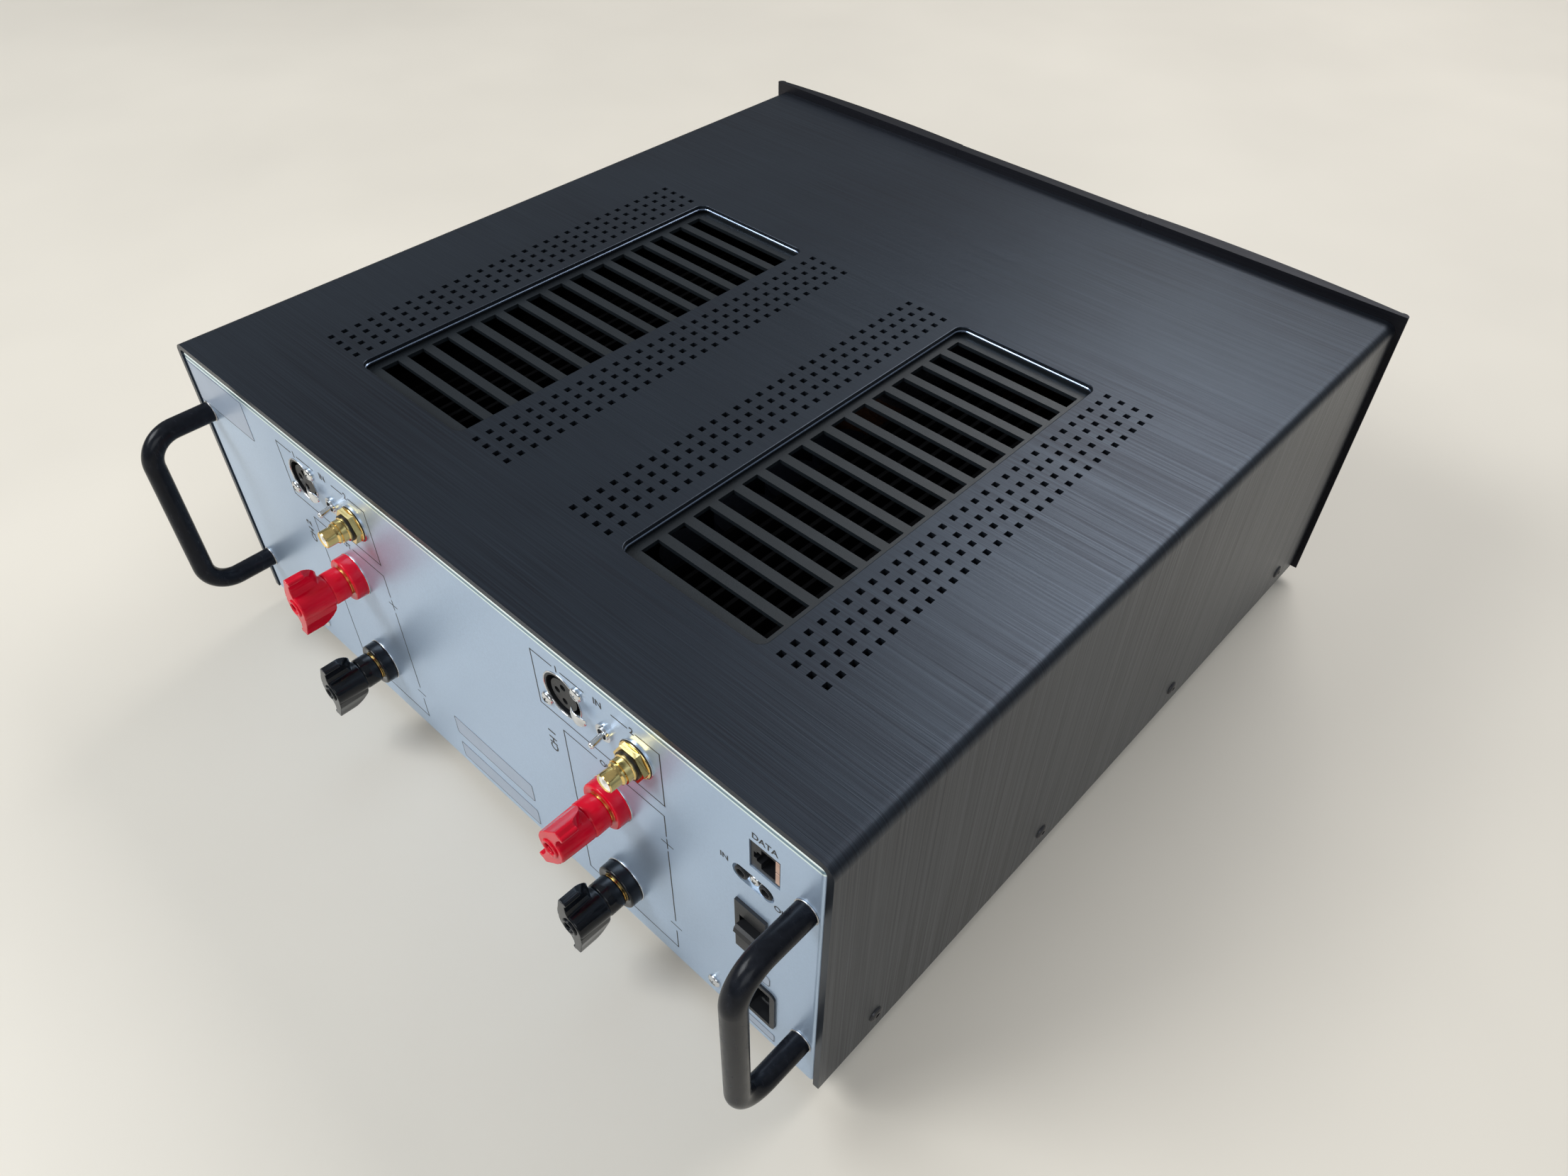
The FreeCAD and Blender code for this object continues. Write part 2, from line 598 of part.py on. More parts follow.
def make_screws():
    """The cover's side screws, the rear panel's screws and the handle screws."""
    sides = []
    for side in (1, -1):
        for index in range(4):
            name = "side_screw_%d" % len(sides)
            screw = turned(name, [
                (0, 0), (cells.side_screw_shank, 0), (cells.side_screw_shank, 8),
                (cells.side_screw_head, 8),
                (cells.side_screw_head - 0.4, 8 + cells.side_screw_proud * 0.6),
                (cells.side_screw_head - 1.6, 8 + cells.side_screw_proud),
                (0, 8 + cells.side_screw_proud)])
            socket = hexagon(name + "_socket", size(2.8), 2, 0, 8 + cells.side_screw_proud - 1.4)
            turn = App.Rotation(App.Vector(0, 0, 1), -90 * side)
            sides.append(place(
                cut(name + "_cut", screw, socket), side * (cells.cover_width / 2 - 8),
                FRONT + cells.side_screw_first + index * cells.side_screw_pitch,
                FLOOR + cells.side_screw_height, turn))
    node(group("cover_screws", sides), "cover_screws")

    rear = []
    for side in (1, -1):
        rear.append(pan_screw("chassis_screw_%d" % len(rear), side * cells.chassis_screw_x,
                              REAR, FLOOR + cells.chassis_screw_z, cells.chassis_screw_head))
        for channel in range(2):
            rear.append(pan_screw(
                "xlr_screw_%d" % len(rear),
                channel_x(channel, cells.xlr_offset) - side * cells.xlr_screw_x, REAR,
                FLOOR + cells.input_height + side * cells.xlr_screw_z))
    rear.append(pan_screw("trigger_screw", cells.trigger_x, REAR - 1.2,
                          FLOOR + cells.trigger_z, size(2.4)))
    node(group("rear_panel_screws", rear), "rear_panel_screws")

    screws, washers = [], []
    for side in (1, -1):
        for height in (cells.handle_top, cells.handle_bottom):
            spot = (side * cells.handle_spacing / 2, FLOOR + height)
            name = "handle_screw_%d" % len(screws)
            inner = REAR - cells.sheet_metal
            head = rod(name + "_head", cells.handle_screw_head, 3, spot[0], inner - 3, spot[1])
            shank = rod(name + "_shank", cells.handle_screw, 16, spot[0], inner, spot[1])
            screws.append(fuse(name, head, shank))
            name = "handle_washer_%d" % len(washers)
            disc = rod(name + "_disc", cells.washer_radius, cells.washer_wall, spot[0], REAR,
                       spot[1])
            hole = rod(name + "_hole", cells.handle_screw, cells.washer_wall, spot[0], REAR,
                       spot[1])
            washers.append(cut(name, disc, hole))
    node(group("handle_screws", screws), "handle_screws")
    node(group("handle_washers", washers), "handle_washers")


def make_handles():
    """Two U-shaped bars bent from round stock, screwed on from inside."""
    for label, side in (("rear_handle_left", 1), ("rear_handle_right", -1)):
        handle = body(label)
        start, reach, bend = cells.washer_wall, cells.handle_reach, cells.handle_bend
        top, bottom = cells.handle_top, cells.handle_bottom
        path = outline(sketch(handle, "YZ_Plane", label + "_path"), [
            (start, top), (reach - bend, top), (reach, top - bend), (reach, bottom + bend),
            (reach - bend, bottom), (start, bottom)], {1: bend, 3: bend}, closed=False)
        ring = sketch(handle, "XZ_Plane", label + "_section", -start)
        circle(ring, cells.handle_radius, 0, top)
        bar = handle.newObject("PartDesign::AdditivePipe", label + "_bar")
        bar.Profile = ring
        bar.Spine = path
        doc.recompute()
        holes = sketch(handle, "XZ_Plane", label + "_holes", -start)
        circle(holes, cells.handle_screw, 0, top)
        circle(holes, cells.handle_screw, 0, bottom)
        pocket(handle, holes, 14)
        place(handle, side * cells.handle_spacing / 2, REAR, FLOOR)
        node(handle, label)


# ---- Inputs ----

def make_xlr(channel):
    """A balanced input socket, its contacts and its sprung latch."""
    tag = "_%d" % (channel + 1)
    x, z = channel_x(channel, cells.xlr_offset), FLOOR + cells.input_height
    depth = cells.xlr_depth
    shell = rod("xlr_shell" + tag, cells.xlr_shell, depth, 0, -depth)
    gap = cut("xlr_gap" + tag, rod("xlr_bore" + tag, cells.xlr_bore, depth, 0, 3 - depth),
              rod("xlr_insert" + tag, cells.xlr_insert, depth, 0, -depth - 0.8))
    tools = [gap, box("xlr_latch_slot" + tag, (-cells.xlr_shell - 1, -cells.xlr_insert - 0.2),
                      (-9, 1), (-cells.latch_width / 2 - 0.5, cells.latch_width / 2 + 0.5))]
    contacts = []
    for index, (dx, dz) in enumerate(((1, 0), (0, 1), (0, -1))):
        name = "xlr_contact%s_%d" % (tag, index)
        cx, cz = dx * cells.xlr_contact_ring, dz * cells.xlr_contact_ring
        tools.append(rod(name + "_seat", cells.xlr_contact, 14, cx, -14, cz))
        sleeve = rod(name + "_sleeve", cells.xlr_contact, 12, x + cx, REAR - 14, z + cz)
        bore = rod(name + "_bore", cells.xlr_contact_bore, 10, x + cx, REAR - 12, z + cz)
        contacts.append(cut(name, sleeve, bore))
    node(place(cut("xlr_socket" + tag, shell, *tools), x, REAR, z), "xlr_socket" + tag)

    latch = body("latch_leaf" + tag)
    root, tip, wall = cells.latch_root, cells.latch_reach, cells.latch_wall
    leaf = outline(sketch(latch, "XY_Plane", "latch_outline" + tag, -cells.latch_width / 2), [
        (-root, -7), (-root + wall, -7), (-root + wall, cells.latch_lift + wall * 1.2),
        (-tip, cells.latch_flare + wall), (-tip, cells.latch_flare),
        (-root, cells.latch_lift)])
    pad(latch, leaf, cells.latch_width)
    soften(latch, cells.latch_width / 2 - 0.4,
           lambda p, e: near(p.x, -tip) and e.Length < 1.2)
    pivot = rod("latch_pivot" + tag, cells.latch_pivot, cells.latch_width, -root, -6.5,
                -cells.latch_width / 2, UPWARDS)
    node(place(fuse("xlr_latch" + tag, latch, pivot), x, REAR, z), "xlr_latch" + tag)
    return contacts


def make_toggle(channel):
    """A miniature toggle switch, its dress nut and its lever."""
    tag = "_%d" % (channel + 1)
    x, z = channel_x(channel, cells.toggle_offset), FLOOR + cells.input_height
    inner = REAR - cells.sheet_metal
    case = box("toggle_case" + tag, (x - 4, x + 4), (inner - 10, inner), (z - 6.5, z + 6.5))
    bush = rod("toggle_bush" + tag, cells.toggle_bush, cells.sheet_metal + 1.8, x, inner, z)
    bore = rod("toggle_bore" + tag, cells.toggle_bore, cells.sheet_metal + 6, x, inner - 3, z)
    node(cut("toggle_switch" + tag, fuse("toggle_solid" + tag, case, bush), bore),
         "toggle_switch" + tag)
    nut = cut("toggle_nut" + tag,
              rod("toggle_disc" + tag, cells.toggle_nut, cells.toggle_nut_wall, x, REAR, z),
              rod("toggle_eye" + tag, cells.toggle_bush, cells.toggle_nut_wall, x, REAR, z),
              box("toggle_key" + tag, (x - 0.6, x + 0.6), (REAR + 0.5, REAR + 2),
                  (z + 3.4, z + 5)))
    stem = body("toggle_stem" + tag)
    length, tip, neck = cells.toggle_length, cells.toggle_tip, cells.toggle_neck
    revolve(stem, outline(sketch(stem, "XY_Plane", "toggle_profile" + tag), [
        (0, -cells.toggle_ball), (cells.toggle_root, neck), (tip, length - tip), (0, length)],
        {0: -cells.toggle_ball, 2: -tip}))
    lever = fuse("toggle_lever" + tag, stem,
                 rod("toggle_pin" + tag, cells.toggle_pin, cells.toggle_ball * 2.3,
                     -cells.toggle_ball * 1.15, 0, 0, TOWARDS_X))
    tilt = App.Rotation(App.Vector(1, 0, 0), -cells.toggle_tilt.value)
    place(lever, x, REAR - cells.toggle_pivot, z, tilt)
    node(lever, "toggle_lever" + tag)
    return nut


def make_rca(channel):
    """A gold-plated phono socket; returns its hexagon nut and its insulators."""
    tag = "_%d" % (channel + 1)
    x, z = channel_x(channel, cells.rca_offset), FLOOR + cells.input_height
    nut_end, reach, barrel = cells.rca_nut_end, cells.rca_reach, cells.rca_barrel
    ring_end = nut_end + 1
    bore = barrel - cells.rca_wall
    shell = turned("rca_shell" + tag, [
        (bore, -cells.rca_depth), (cells.rca_body - 1, -cells.rca_depth),
        (cells.rca_body - 1, ring_end), (cells.rca_flange, ring_end),
        (cells.rca_flange, ring_end + 0.7), (cells.rca_body, ring_end + 1),
        (cells.rca_body, 8.8), (cells.rca_lug - 0.4, 8.8), (cells.rca_lug - 0.4, 9.3),
        (cells.rca_lug, 9.3), (cells.rca_lug, 10.1), (barrel, 10.9),
        (barrel, reach - 0.4), (barrel - 0.3, reach), (bore, reach)])
    node(place(shell, x, REAR, z), "rca_shell" + tag)
    nut = cut("rca_nut" + tag,
              hexagon("rca_hex" + tag, cells.rca_nut, nut_end - cells.rca_nut_start, x,
                      REAR + cells.rca_nut_start, z),
              rod("rca_hex_hole" + tag, cells.rca_body - 1, 6, x, REAR, z))
    sleeve = turned("rca_sleeve" + tag, [
        (cells.rca_sleeve_bore, 4), (cells.rca_sleeve_bore, reach - 0.6),
        (bore, reach - 0.6), (bore, -cells.rca_depth), (0, -cells.rca_depth), (0, 4)])
    ring = turned("rca_ring" + tag, [
        (cells.rca_body - 1, nut_end), (cells.rca_ring, nut_end),
        (cells.rca_ring, ring_end), (cells.rca_body - 1, ring_end)])
    washer = turned("rca_washer" + tag, [
        (cells.rca_body - 1, 0), (cells.rca_nut / 2 + 0.5, 0),
        (cells.rca_nut / 2 + 0.5, cells.rca_nut_start - 0.2),
        (cells.rca_nut / 2, cells.rca_nut_start), (cells.rca_body - 1, cells.rca_nut_start)])
    return nut, [place(piece, x, REAR, z) for piece in (sleeve, ring, washer)]


# ---- Loudspeaker posts ----

def make_collar(name, x, z):
    """The insulating collar that a post stands in, with its locating nub."""
    collar = turned(name, [
        (cells.stud_radius + 0.3, 0), (cells.collar_radius, 0),
        (cells.collar_front, cells.collar_depth - cells.collar_edge),
        (cells.collar_front - cells.collar_edge, cells.collar_depth),
        (cells.stud_radius + 0.3, cells.collar_depth)])
    nub = box(name + "_nub", (-1.2, 1.2), (0, 1.6),
              (cells.collar_radius - 1.5, cells.collar_radius + 0.9))
    return place(fuse(name + "_fused", collar, nub), x, REAR, z)


def make_stud(name, x, z):
    """The threaded metal core of a post, drilled for a plug, with its flange and inner nut."""
    start = cells.collar_depth
    stud = turned(name, [
        (0, -cells.stud_tail), (cells.stud_radius, -cells.stud_tail),
        (cells.stud_radius, start), (cells.flange_radius, start),
        (cells.flange_radius, start + cells.flange_wall),
        (cells.stud_radius, start + cells.flange_wall), (cells.stud_radius, cells.stud_tip),
        (cells.banana_radius, cells.stud_tip),
        (cells.banana_radius, cells.stud_tip - cells.banana_depth),
        (0, cells.stud_tip - cells.banana_depth)])
    nut = cut(name + "_nut", hexagon(name + "_hex", cells.stud_radius * 4, 4),
              rod(name + "_hex_hole", cells.stud_radius, 6, 0, -1))
    return [place(stud, x, REAR, z), place(nut, x, REAR - cells.sheet_metal - 4, z)]


def make_knob(name, x, z, turn):
    """A winged knob that screws down the stud, and the washer that it pushes."""
    start = cells.collar_depth + cells.flange_wall
    seat = start + cells.post_washer_wall
    bore = cells.stud_radius + cells.post_fit
    washer = turned("post_washer_" + name, [
        (bore, start), (cells.post_washer, start), (cells.post_washer, seat), (bore, seat)])
    node(place(washer, x, REAR, z), "post_washer_" + name)

    knob = body("post_knob_" + name)
    face, neck, top = cells.knob_face, cells.knob_neck, cells.knob_face + cells.knob_rim_height
    profile = outline(sketch(knob, "XY_Plane", "knob_profile_" + name), [
        (bore, seat), (cells.knob_rear - 0.4, seat), (cells.knob_rear, seat + 0.4),
        (cells.knob_rear, neck), (cells.knob_rear - 0.35, neck + 0.3),
        (cells.knob_front, face), (cells.knob_rim, face), (cells.knob_rim - 0.3, top),
        (cells.knob_hole, top), (cells.knob_hole, face - cells.knob_end_wall),
        (bore, face - cells.knob_end_wall)])
    revolve(knob, profile)
    wings = sketch(knob, "YZ_Plane", "knob_wings_" + name, -cells.wing_wall / 2)
    root = cells.knob_rim + 1.2
    for side in (1, -1):
        tip, shoulder = side * cells.wing_span, side * (cells.wing_span - cells.wing_round)
        outline(wings, [
            (cells.wing_root, side * root), (cells.wing_root, side * (cells.knob_front + 0.6)),
            (cells.wing_start - cells.wing_round, shoulder), (cells.wing_start, tip),
            (face, tip), (face, side * root)], {2: side * (cells.wing_round + 1.5)})
    pad(knob, wings, cells.wing_wall)
    soften(knob, cells.knob_edge, lambda p, e: abs(abs(p.z) - cells.wing_span.value) < 1e-3
           and e.Length > 3)
    node(place(knob, x, REAR, z, App.Rotation(App.Vector(0, 1, 0), turn)), "post_knob_" + name)


def make_posts():
    """Red posts above black ones, a pair for each channel."""
    turns = {("red", 0): -18, ("black", 0): 10, ("red", 1): 0, ("black", 1): 0}
    studs = []
    for colour, side in (("red", 1), ("black", -1)):
        collars = []
        for channel in range(2):
            name = "%s_%d" % (colour, channel + 1)
            x = channel_x(channel)
            z = FLOOR + cells.post_height + side * cells.post_spacing / 2
            collars.append(make_collar("post_collar_" + name, x, z))
            studs += make_stud("post_stud_" + name, x, z)
            make_knob(name, x, z, turns[(colour, channel)])
        node(group("post_collars_" + colour, collars), "post_collars_" + colour)
    node(group("post_studs", studs), "post_studs")


# ---- Network, trigger and mains ----

def make_network_jack():
    """A shielded network socket turned on its side."""
    x, z, inner = cells.network_x, FLOOR + cells.network_z, cells.network_cavity
    half_x, half_z = cells.network_width / 2 - 0.1, cells.network_height / 2 - 0.1
    face = REAR - 0.6
    case = box("network_case", (x - half_x, x + half_x), (face - cells.network_depth, face),
               (z - half_z, z + half_z))
    mouth = cells.network_mouth / 2
    tools = [box("network_mouth_room", (x - 5, x + 2.2), (face - inner, face),
                 (z - mouth, z + mouth)),
             box("network_step", (x + 2, x + 4.4), (face - inner, face), (z - 3, z + 3)),
             box("network_catch", (x + 4.2, x + 5.8), (face - inner, face), (z - 1.7, z + 1.7))]
    node(cut("network_jack", case, fuse("network_room", *tools)), "network_jack")


def make_trigger_jacks():
    """Two small control jacks side by side on a bright plate."""
    z, depth, pieces = FLOOR + cells.trigger_z, cells.trigger_depth, []
    for side in (1, -1):
        name = "trigger_jack_%d" % len(pieces)
        x = cells.trigger_x + side * cells.trigger_pitch / 2
        barrel = rod(name + "_barrel", cells.trigger_barrel, depth, x, REAR - depth, z)
        bore = rod(name + "_bore", cells.trigger_bore, depth - 1, x, REAR - depth + 1, z)
        pieces.append(cut(name, barrel, bore))
    node(group("trigger_jacks", pieces), "trigger_jacks")


def make_rocker():
    """The mains switch: a framed housing and a paddle on a drum that tilts up and down."""
    x, z = cells.rocker_x, FLOOR + cells.rocker_z
    rim = box("rocker_frame", (x - cells.rocker_width / 2, x + cells.rocker_width / 2),
              (REAR, REAR + cells.rocker_rim),
              (z - cells.rocker_height / 2, z + cells.rocker_height / 2))
    back = box("rocker_back", (x - cells.rocker_body / 2, x + cells.rocker_body / 2),
               (REAR - cells.rocker_depth, REAR),
               (z - cells.rocker_body_height / 2, z + cells.rocker_body_height / 2))
    slot_x, slot_z = cells.rocker_slot / 2, cells.rocker_slot_height / 2
    room = box("rocker_room", (x - slot_x, x + slot_x), (REAR - 15, REAR + 3),
               (z - slot_z, z + slot_z))
    node(cut("rocker_housing", fuse("rocker_solid", rim, back), room), "rocker_housing")

    half = slot_x - cells.rocker_play
    drum = rod("rocker_drum", cells.rocker_drum, half * 2, -half, 0, 0, TOWARDS_X)
    blade = body("rocker_blade")
    thick = cells.rocker_blade / 2
    edge = outline(sketch(blade, "YZ_Plane", "blade_outline", -half), [
        (0, -thick), (cells.rocker_reach - 1, -thick * 0.8), (cells.rocker_reach, -thick * 0.4),
        (cells.rocker_reach, thick * 0.4), (cells.rocker_reach - 1, thick * 0.8), (0, thick)])
    pad(blade, edge, half * 2)
    paddle = fuse("rocker_paddle", drum, blade)
    tilt = App.Rotation(App.Vector(1, 0, 0), cells.rocker_tilt.value)
    place(paddle, x, REAR - cells.rocker_pivot, z, tilt)
    node(paddle, "rocker_paddle")


def make_inlet():
    """The mains inlet and its three flat pins."""
    inlet = body("mains_inlet")
    wide, high, corner = cells.inlet_width / 2, cells.inlet_height / 2, cells.inlet_corner
    rim = sketch(inlet, "XZ_Plane", "inlet_rim_outline", -cells.inlet_rim)
    rectangle(rim, (-wide, wide), (-high, high), corner)
    pad(inlet, rim, cells.inlet_rim)
    wide, high = cells.inlet_body / 2, cells.inlet_body_height / 2
    back = sketch(inlet, "XZ_Plane", "inlet_back_outline")
    rectangle(back, (-wide, wide), (-high, high), corner - 1)
    pad(inlet, back, cells.inlet_depth)
    wide, high = cells.inlet_mouth / 2, cells.inlet_mouth_height / 2
    mouth = sketch(inlet, "XZ_Plane", "inlet_mouth_outline", -cells.inlet_rim)
    outline(mouth, [(-wide, -high), (wide - 5, -high), (wide, -high + 5), (wide, high - 5),
                    (wide - 5, high), (-wide, high)])
    pocket(inlet, mouth, cells.inlet_cavity, reverse=True)
    place(inlet, cells.inlet_x, REAR, FLOOR + cells.inlet_z)
    node(inlet, "mains_inlet")

    pins = []
    root = REAR + cells.inlet_rim - cells.inlet_cavity
    for dx, dz in ((-2, 7), (-2, -7), (2, 0)):
        x, z = cells.inlet_x + dx, FLOOR + cells.inlet_z + dz
        pins.append(box("inlet_pin_%d" % len(pins),
                        (x - cells.inlet_pin_height / 2, x + cells.inlet_pin_height / 2),
                        (root, root + cells.inlet_pin_reach),
                        (z - cells.inlet_pin / 2, z + cells.inlet_pin / 2)))
    node(group("inlet_pins", pins), "inlet_pins")


# ---- Feet ----

def make_feet():
    """Four turned feet with soft pads let into them."""
    feet, pads = [], []
    top = FLOOR + 1
    for side_x in (1, -1):
        for side_y in (1, -1):
            x, y = side_x * cells.foot_x, side_y * cells.foot_y + 10
            name = "foot_%d" % len(feet)
            radius, edge, lift = cells.foot_radius, cells.foot_edge, cells.pad_proud
            recess = lift + cells.pad_recess
            foot = body(name)
            revolve(foot, outline(sketch(foot, "XZ_Plane", name + "_profile"), [
                (0, recess), (cells.pad_radius, recess), (cells.pad_radius, lift),
                (radius - edge * 2, lift), (radius, lift + edge * 2), (radius, top),
                (0, top)]))
            feet.append(place(foot, x, y, 0))
            pads.append(rod(name + "_pad", cells.pad_radius - cells.fit_gap, recess, x, y, 0,
                            UPWARDS))
    node(group("feet", feet), "feet")
    node(group("foot_pads", pads), "foot_pads")


# ---- Inside ----

def make_power_supply():
    """Toroidal transformer with its clamp, reservoir capacitors, rectifiers and supply board."""
    floor = FLOOR + 1 + cells.sheet_metal
    outer = rod("core_outer", cells.core_radius, cells.core_height, 0, cells.core_y, floor,
                UPWARDS)
    hole = rod("core_hole", cells.core_bore, cells.core_height, 0, cells.core_y, floor, UPWARDS)
    core = cut("power_transformer", outer, hole)
    node(core, "power_transformer")
    top = floor + cells.core_height
    plate = rod("clamp_plate", cells.clamp_radius, cells.clamp_wall, 0, cells.core_y, top,
                UPWARDS)
    bolt = rod("clamp_bolt", cells.clamp_bolt, cells.core_height + cells.clamp_wall + 8, 0, cells.core_y,
               floor, UPWARDS)
    node(fuse("transformer_clamp", plate, bolt), "transformer_clamp")

    board_z = floor + 8
    cans = []
    for row in range(4):
        for side in (1, -1):
            x = side * cells.can_pitch / 2
            y = cells.can_y + row * cells.can_pitch
            cans.append(rod("can_%d" % len(cans), cells.can_radius, cells.can_height, x, y,
                            board_z + cells.board_wall, UPWARDS))
    node(group("reservoir_capacitors", cans), "reservoir_capacitors")
    half = cells.supply_board_width / 2
    margin = cells.supply_board_margin
    board = box("supply_board", (-half, half),
                (cells.can_y - margin, cells.can_y + 3 * cells.can_pitch + margin),
                (board_z, board_z + cells.board_wall))
    node(board, "supply_board")

    bridges = []
    for side in (1, -1):
        middle, edge = side * cells.rectifier_pitch / 2, cells.rectifier_side / 2
        bridges.append(box("bridge_%d" % len(bridges), (middle - edge, middle + edge),
                           (cells.rectifier_y - edge, cells.rectifier_y + edge),
                           (floor, floor + cells.rectifier_height)))
    node(group("bridge_rectifiers", bridges), "bridge_rectifiers")


def make_output_stages():
    """A finned heat sink under each vent, with its output devices and amplifier board."""
    low = FLOOR + 1 + cells.sheet_metal + cells.sink_lift
    start = FRONT + cells.vent_start
    end = start + cells.sink_length
    devices, boards = [], []
    for label, side in (("heatsink_left", -1), ("heatsink_right", 1)):
        outer = cells.sink_x + cells.sink_wall
        spans = [(outer, cells.sink_x)]
        for index in range(int(cells.sink_fins.value)):
            fin = cells.sink_x - (index + 1) * cells.sink_fin_pitch + cells.sink_fin
            spans.append((fin, fin - cells.sink_fin))
        sink = body(label)
        profile = sketch(sink, "XZ_Plane", label + "_profile")
        high, web = cells.sink_height, size(6)
        points = [(outer, 0), (spans[-1][1], 0), (spans[-1][1], high)]
        for near_side, far_side in zip(spans[:0:-1], spans[-2::-1]):
            points += [(near_side[0], high), (near_side[0], web), (far_side[1], web),
                       (far_side[1], high)]
        points += [(outer, high)]
        outline(profile, [(side * a, b) for a, b in points])
        pad(sink, profile, cells.sink_length, reverse=True)
        place(sink, 0, start, low)
        node(sink, label)
        middle = (start + end) / 2
        for index in range(int(cells.transistor_count.value)):
            y = middle + (index - (cells.transistor_count - 1) / 2) * cells.transistor_pitch
            faces = [side * outer, side * (outer + cells.transistor_wall)]
            faces = faces if side > 0 else faces[::-1]
            devices.append(box("device_%d" % len(devices), tuple(faces),
                               (y - cells.transistor_width / 2, y + cells.transistor_width / 2),
                               (low + 30, low + 30 + cells.transistor_height)))
        gap = outer + cells.transistor_wall + 8
        faces = [side * gap, side * (gap + cells.board_wall)]
        faces = faces if side > 0 else faces[::-1]
        boards.append(box("amp_board_%d" % len(boards), tuple(faces),
                          (middle - cells.amp_board_length / 2,
                           middle + cells.amp_board_length / 2),
                          (low + 6, low + 6 + cells.amp_board_height)))
    node(group("output_transistors", devices), "output_transistors")
    node(group("amplifier_boards", boards), "amplifier_boards")
    y = REAR - cells.sheet_metal - cells.input_board_gap
    half = cells.input_board_width / 2
    node(box("input_board", (-half, half), (y - cells.board_wall, y),
             (FLOOR + cells.input_height - cells.input_board_height / 2,
              FLOOR + cells.input_height + cells.input_board_height / 2)), "input_board")


def make_inputs():
    contacts, nuts, rca_nuts, insulators = [], [], [], []
    for channel in range(2):
        contacts += make_xlr(channel)
        nuts.append(make_toggle(channel))
        nut, soft = make_rca(channel)
        rca_nuts.append(nut)
        insulators += soft
    node(group("xlr_contacts", contacts), "xlr_contacts")
    node(group("toggle_nuts", nuts), "toggle_nuts")
    node(group("rca_nuts", rca_nuts), "rca_nuts")
    node(group("rca_insulators", insulators), "rca_insulators")


make_top_cover()
make_base_tray()
make_rear_panel()
make_front()
make_standby_button()
make_grilles()
make_screws()
make_handles()
make_inputs()
make_posts()
make_network_jack()
make_trigger_jacks()
make_rocker()
make_inlet()
make_feet()
make_power_supply()
make_output_stages()
doc.recompute()

for item in doc.Objects:
    if "Invalid" in item.State or "Error" in item.State:
        raise RuntimeError("%s (%s) failed: %s" % (item.Name, item.Label, item.State))
for item in nodes:
    if item.Shape.isNull() or not item.Shape.isValid():
        raise RuntimeError(item.Label + " has no valid shape")
for item in nodes:
    item.Shape.exportStep("parts/%s.step" % item.Label)
print(len(nodes), "nodes written")
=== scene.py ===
import json
import math

import bmesh
import bpy
from mathutils import Matrix, Vector


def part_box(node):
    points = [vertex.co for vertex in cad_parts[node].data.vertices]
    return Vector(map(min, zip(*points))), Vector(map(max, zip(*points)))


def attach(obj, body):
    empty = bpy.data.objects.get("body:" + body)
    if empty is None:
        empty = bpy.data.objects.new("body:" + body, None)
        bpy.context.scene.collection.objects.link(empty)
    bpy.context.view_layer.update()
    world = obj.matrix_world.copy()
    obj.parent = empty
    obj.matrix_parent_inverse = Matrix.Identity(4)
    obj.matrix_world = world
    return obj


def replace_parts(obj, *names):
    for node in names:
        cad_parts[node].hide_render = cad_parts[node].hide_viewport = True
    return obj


# The looks of a two-channel power amplifier, in metres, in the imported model's frame:
# +Z up, front towards -Y, connector panel towards +Y.
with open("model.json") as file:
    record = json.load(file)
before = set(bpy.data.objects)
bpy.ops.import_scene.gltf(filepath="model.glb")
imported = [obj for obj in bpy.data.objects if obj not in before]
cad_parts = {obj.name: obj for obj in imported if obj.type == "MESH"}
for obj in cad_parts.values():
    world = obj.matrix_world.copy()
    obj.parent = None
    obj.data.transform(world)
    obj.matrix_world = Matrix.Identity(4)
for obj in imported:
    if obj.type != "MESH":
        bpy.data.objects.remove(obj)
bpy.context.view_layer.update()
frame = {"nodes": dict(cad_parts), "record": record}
nodes = frame["nodes"]
MM = 0.001

# ---- Places read from the frame ----

PANEL_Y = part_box("rear_panel")[1].y
PANEL_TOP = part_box("rear_panel")[1].z
CASE_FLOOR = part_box("top_cover")[0].z


def middle(node):
    """Centre of a CAD node's box."""
    low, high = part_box(node)
    return (low + high) / 2


CHANNELS = [{"number": number, "x": middle("post_washer_red_%d" % number).x,
             "xlr": middle("xlr_socket_%d" % number), "phono": middle("rca_shell_%d" % number),
             "red": middle("post_washer_red_%d" % number),
             "black": middle("post_washer_black_%d" % number)} for number in (1, 2)]


# ---- Camera, light and floor ----

CAMERA_PLACE = (-0.3324, 0.3557, 0.4941)
CAMERA_HEADING, CAMERA_SLOPE = math.radians(-47.59), math.radians(-44.81)
CAMERA_ROLL = math.radians(0.88)
CAMERA_LENS = 26.22
HORIZON, HORIZON_TONE = 0.08, (0.24, 0.25, 0.27, 1)
OVERHEAD, OVERHEAD_TONE = 0.75, (0.88, 0.94, 1.0, 1)
SKY_STRENGTH = 0.40
FLOOR_REACH = 6.0


def point_at(obj, target, roll=0.0):
    """Turns a camera or light so that it looks at a point."""
    direction = (target - obj.location).normalized()
    obj.rotation_euler = (direction.to_track_quat("-Z", "Y").to_matrix()
                          @ Matrix.Rotation(roll, 3, "Z")).to_euler()


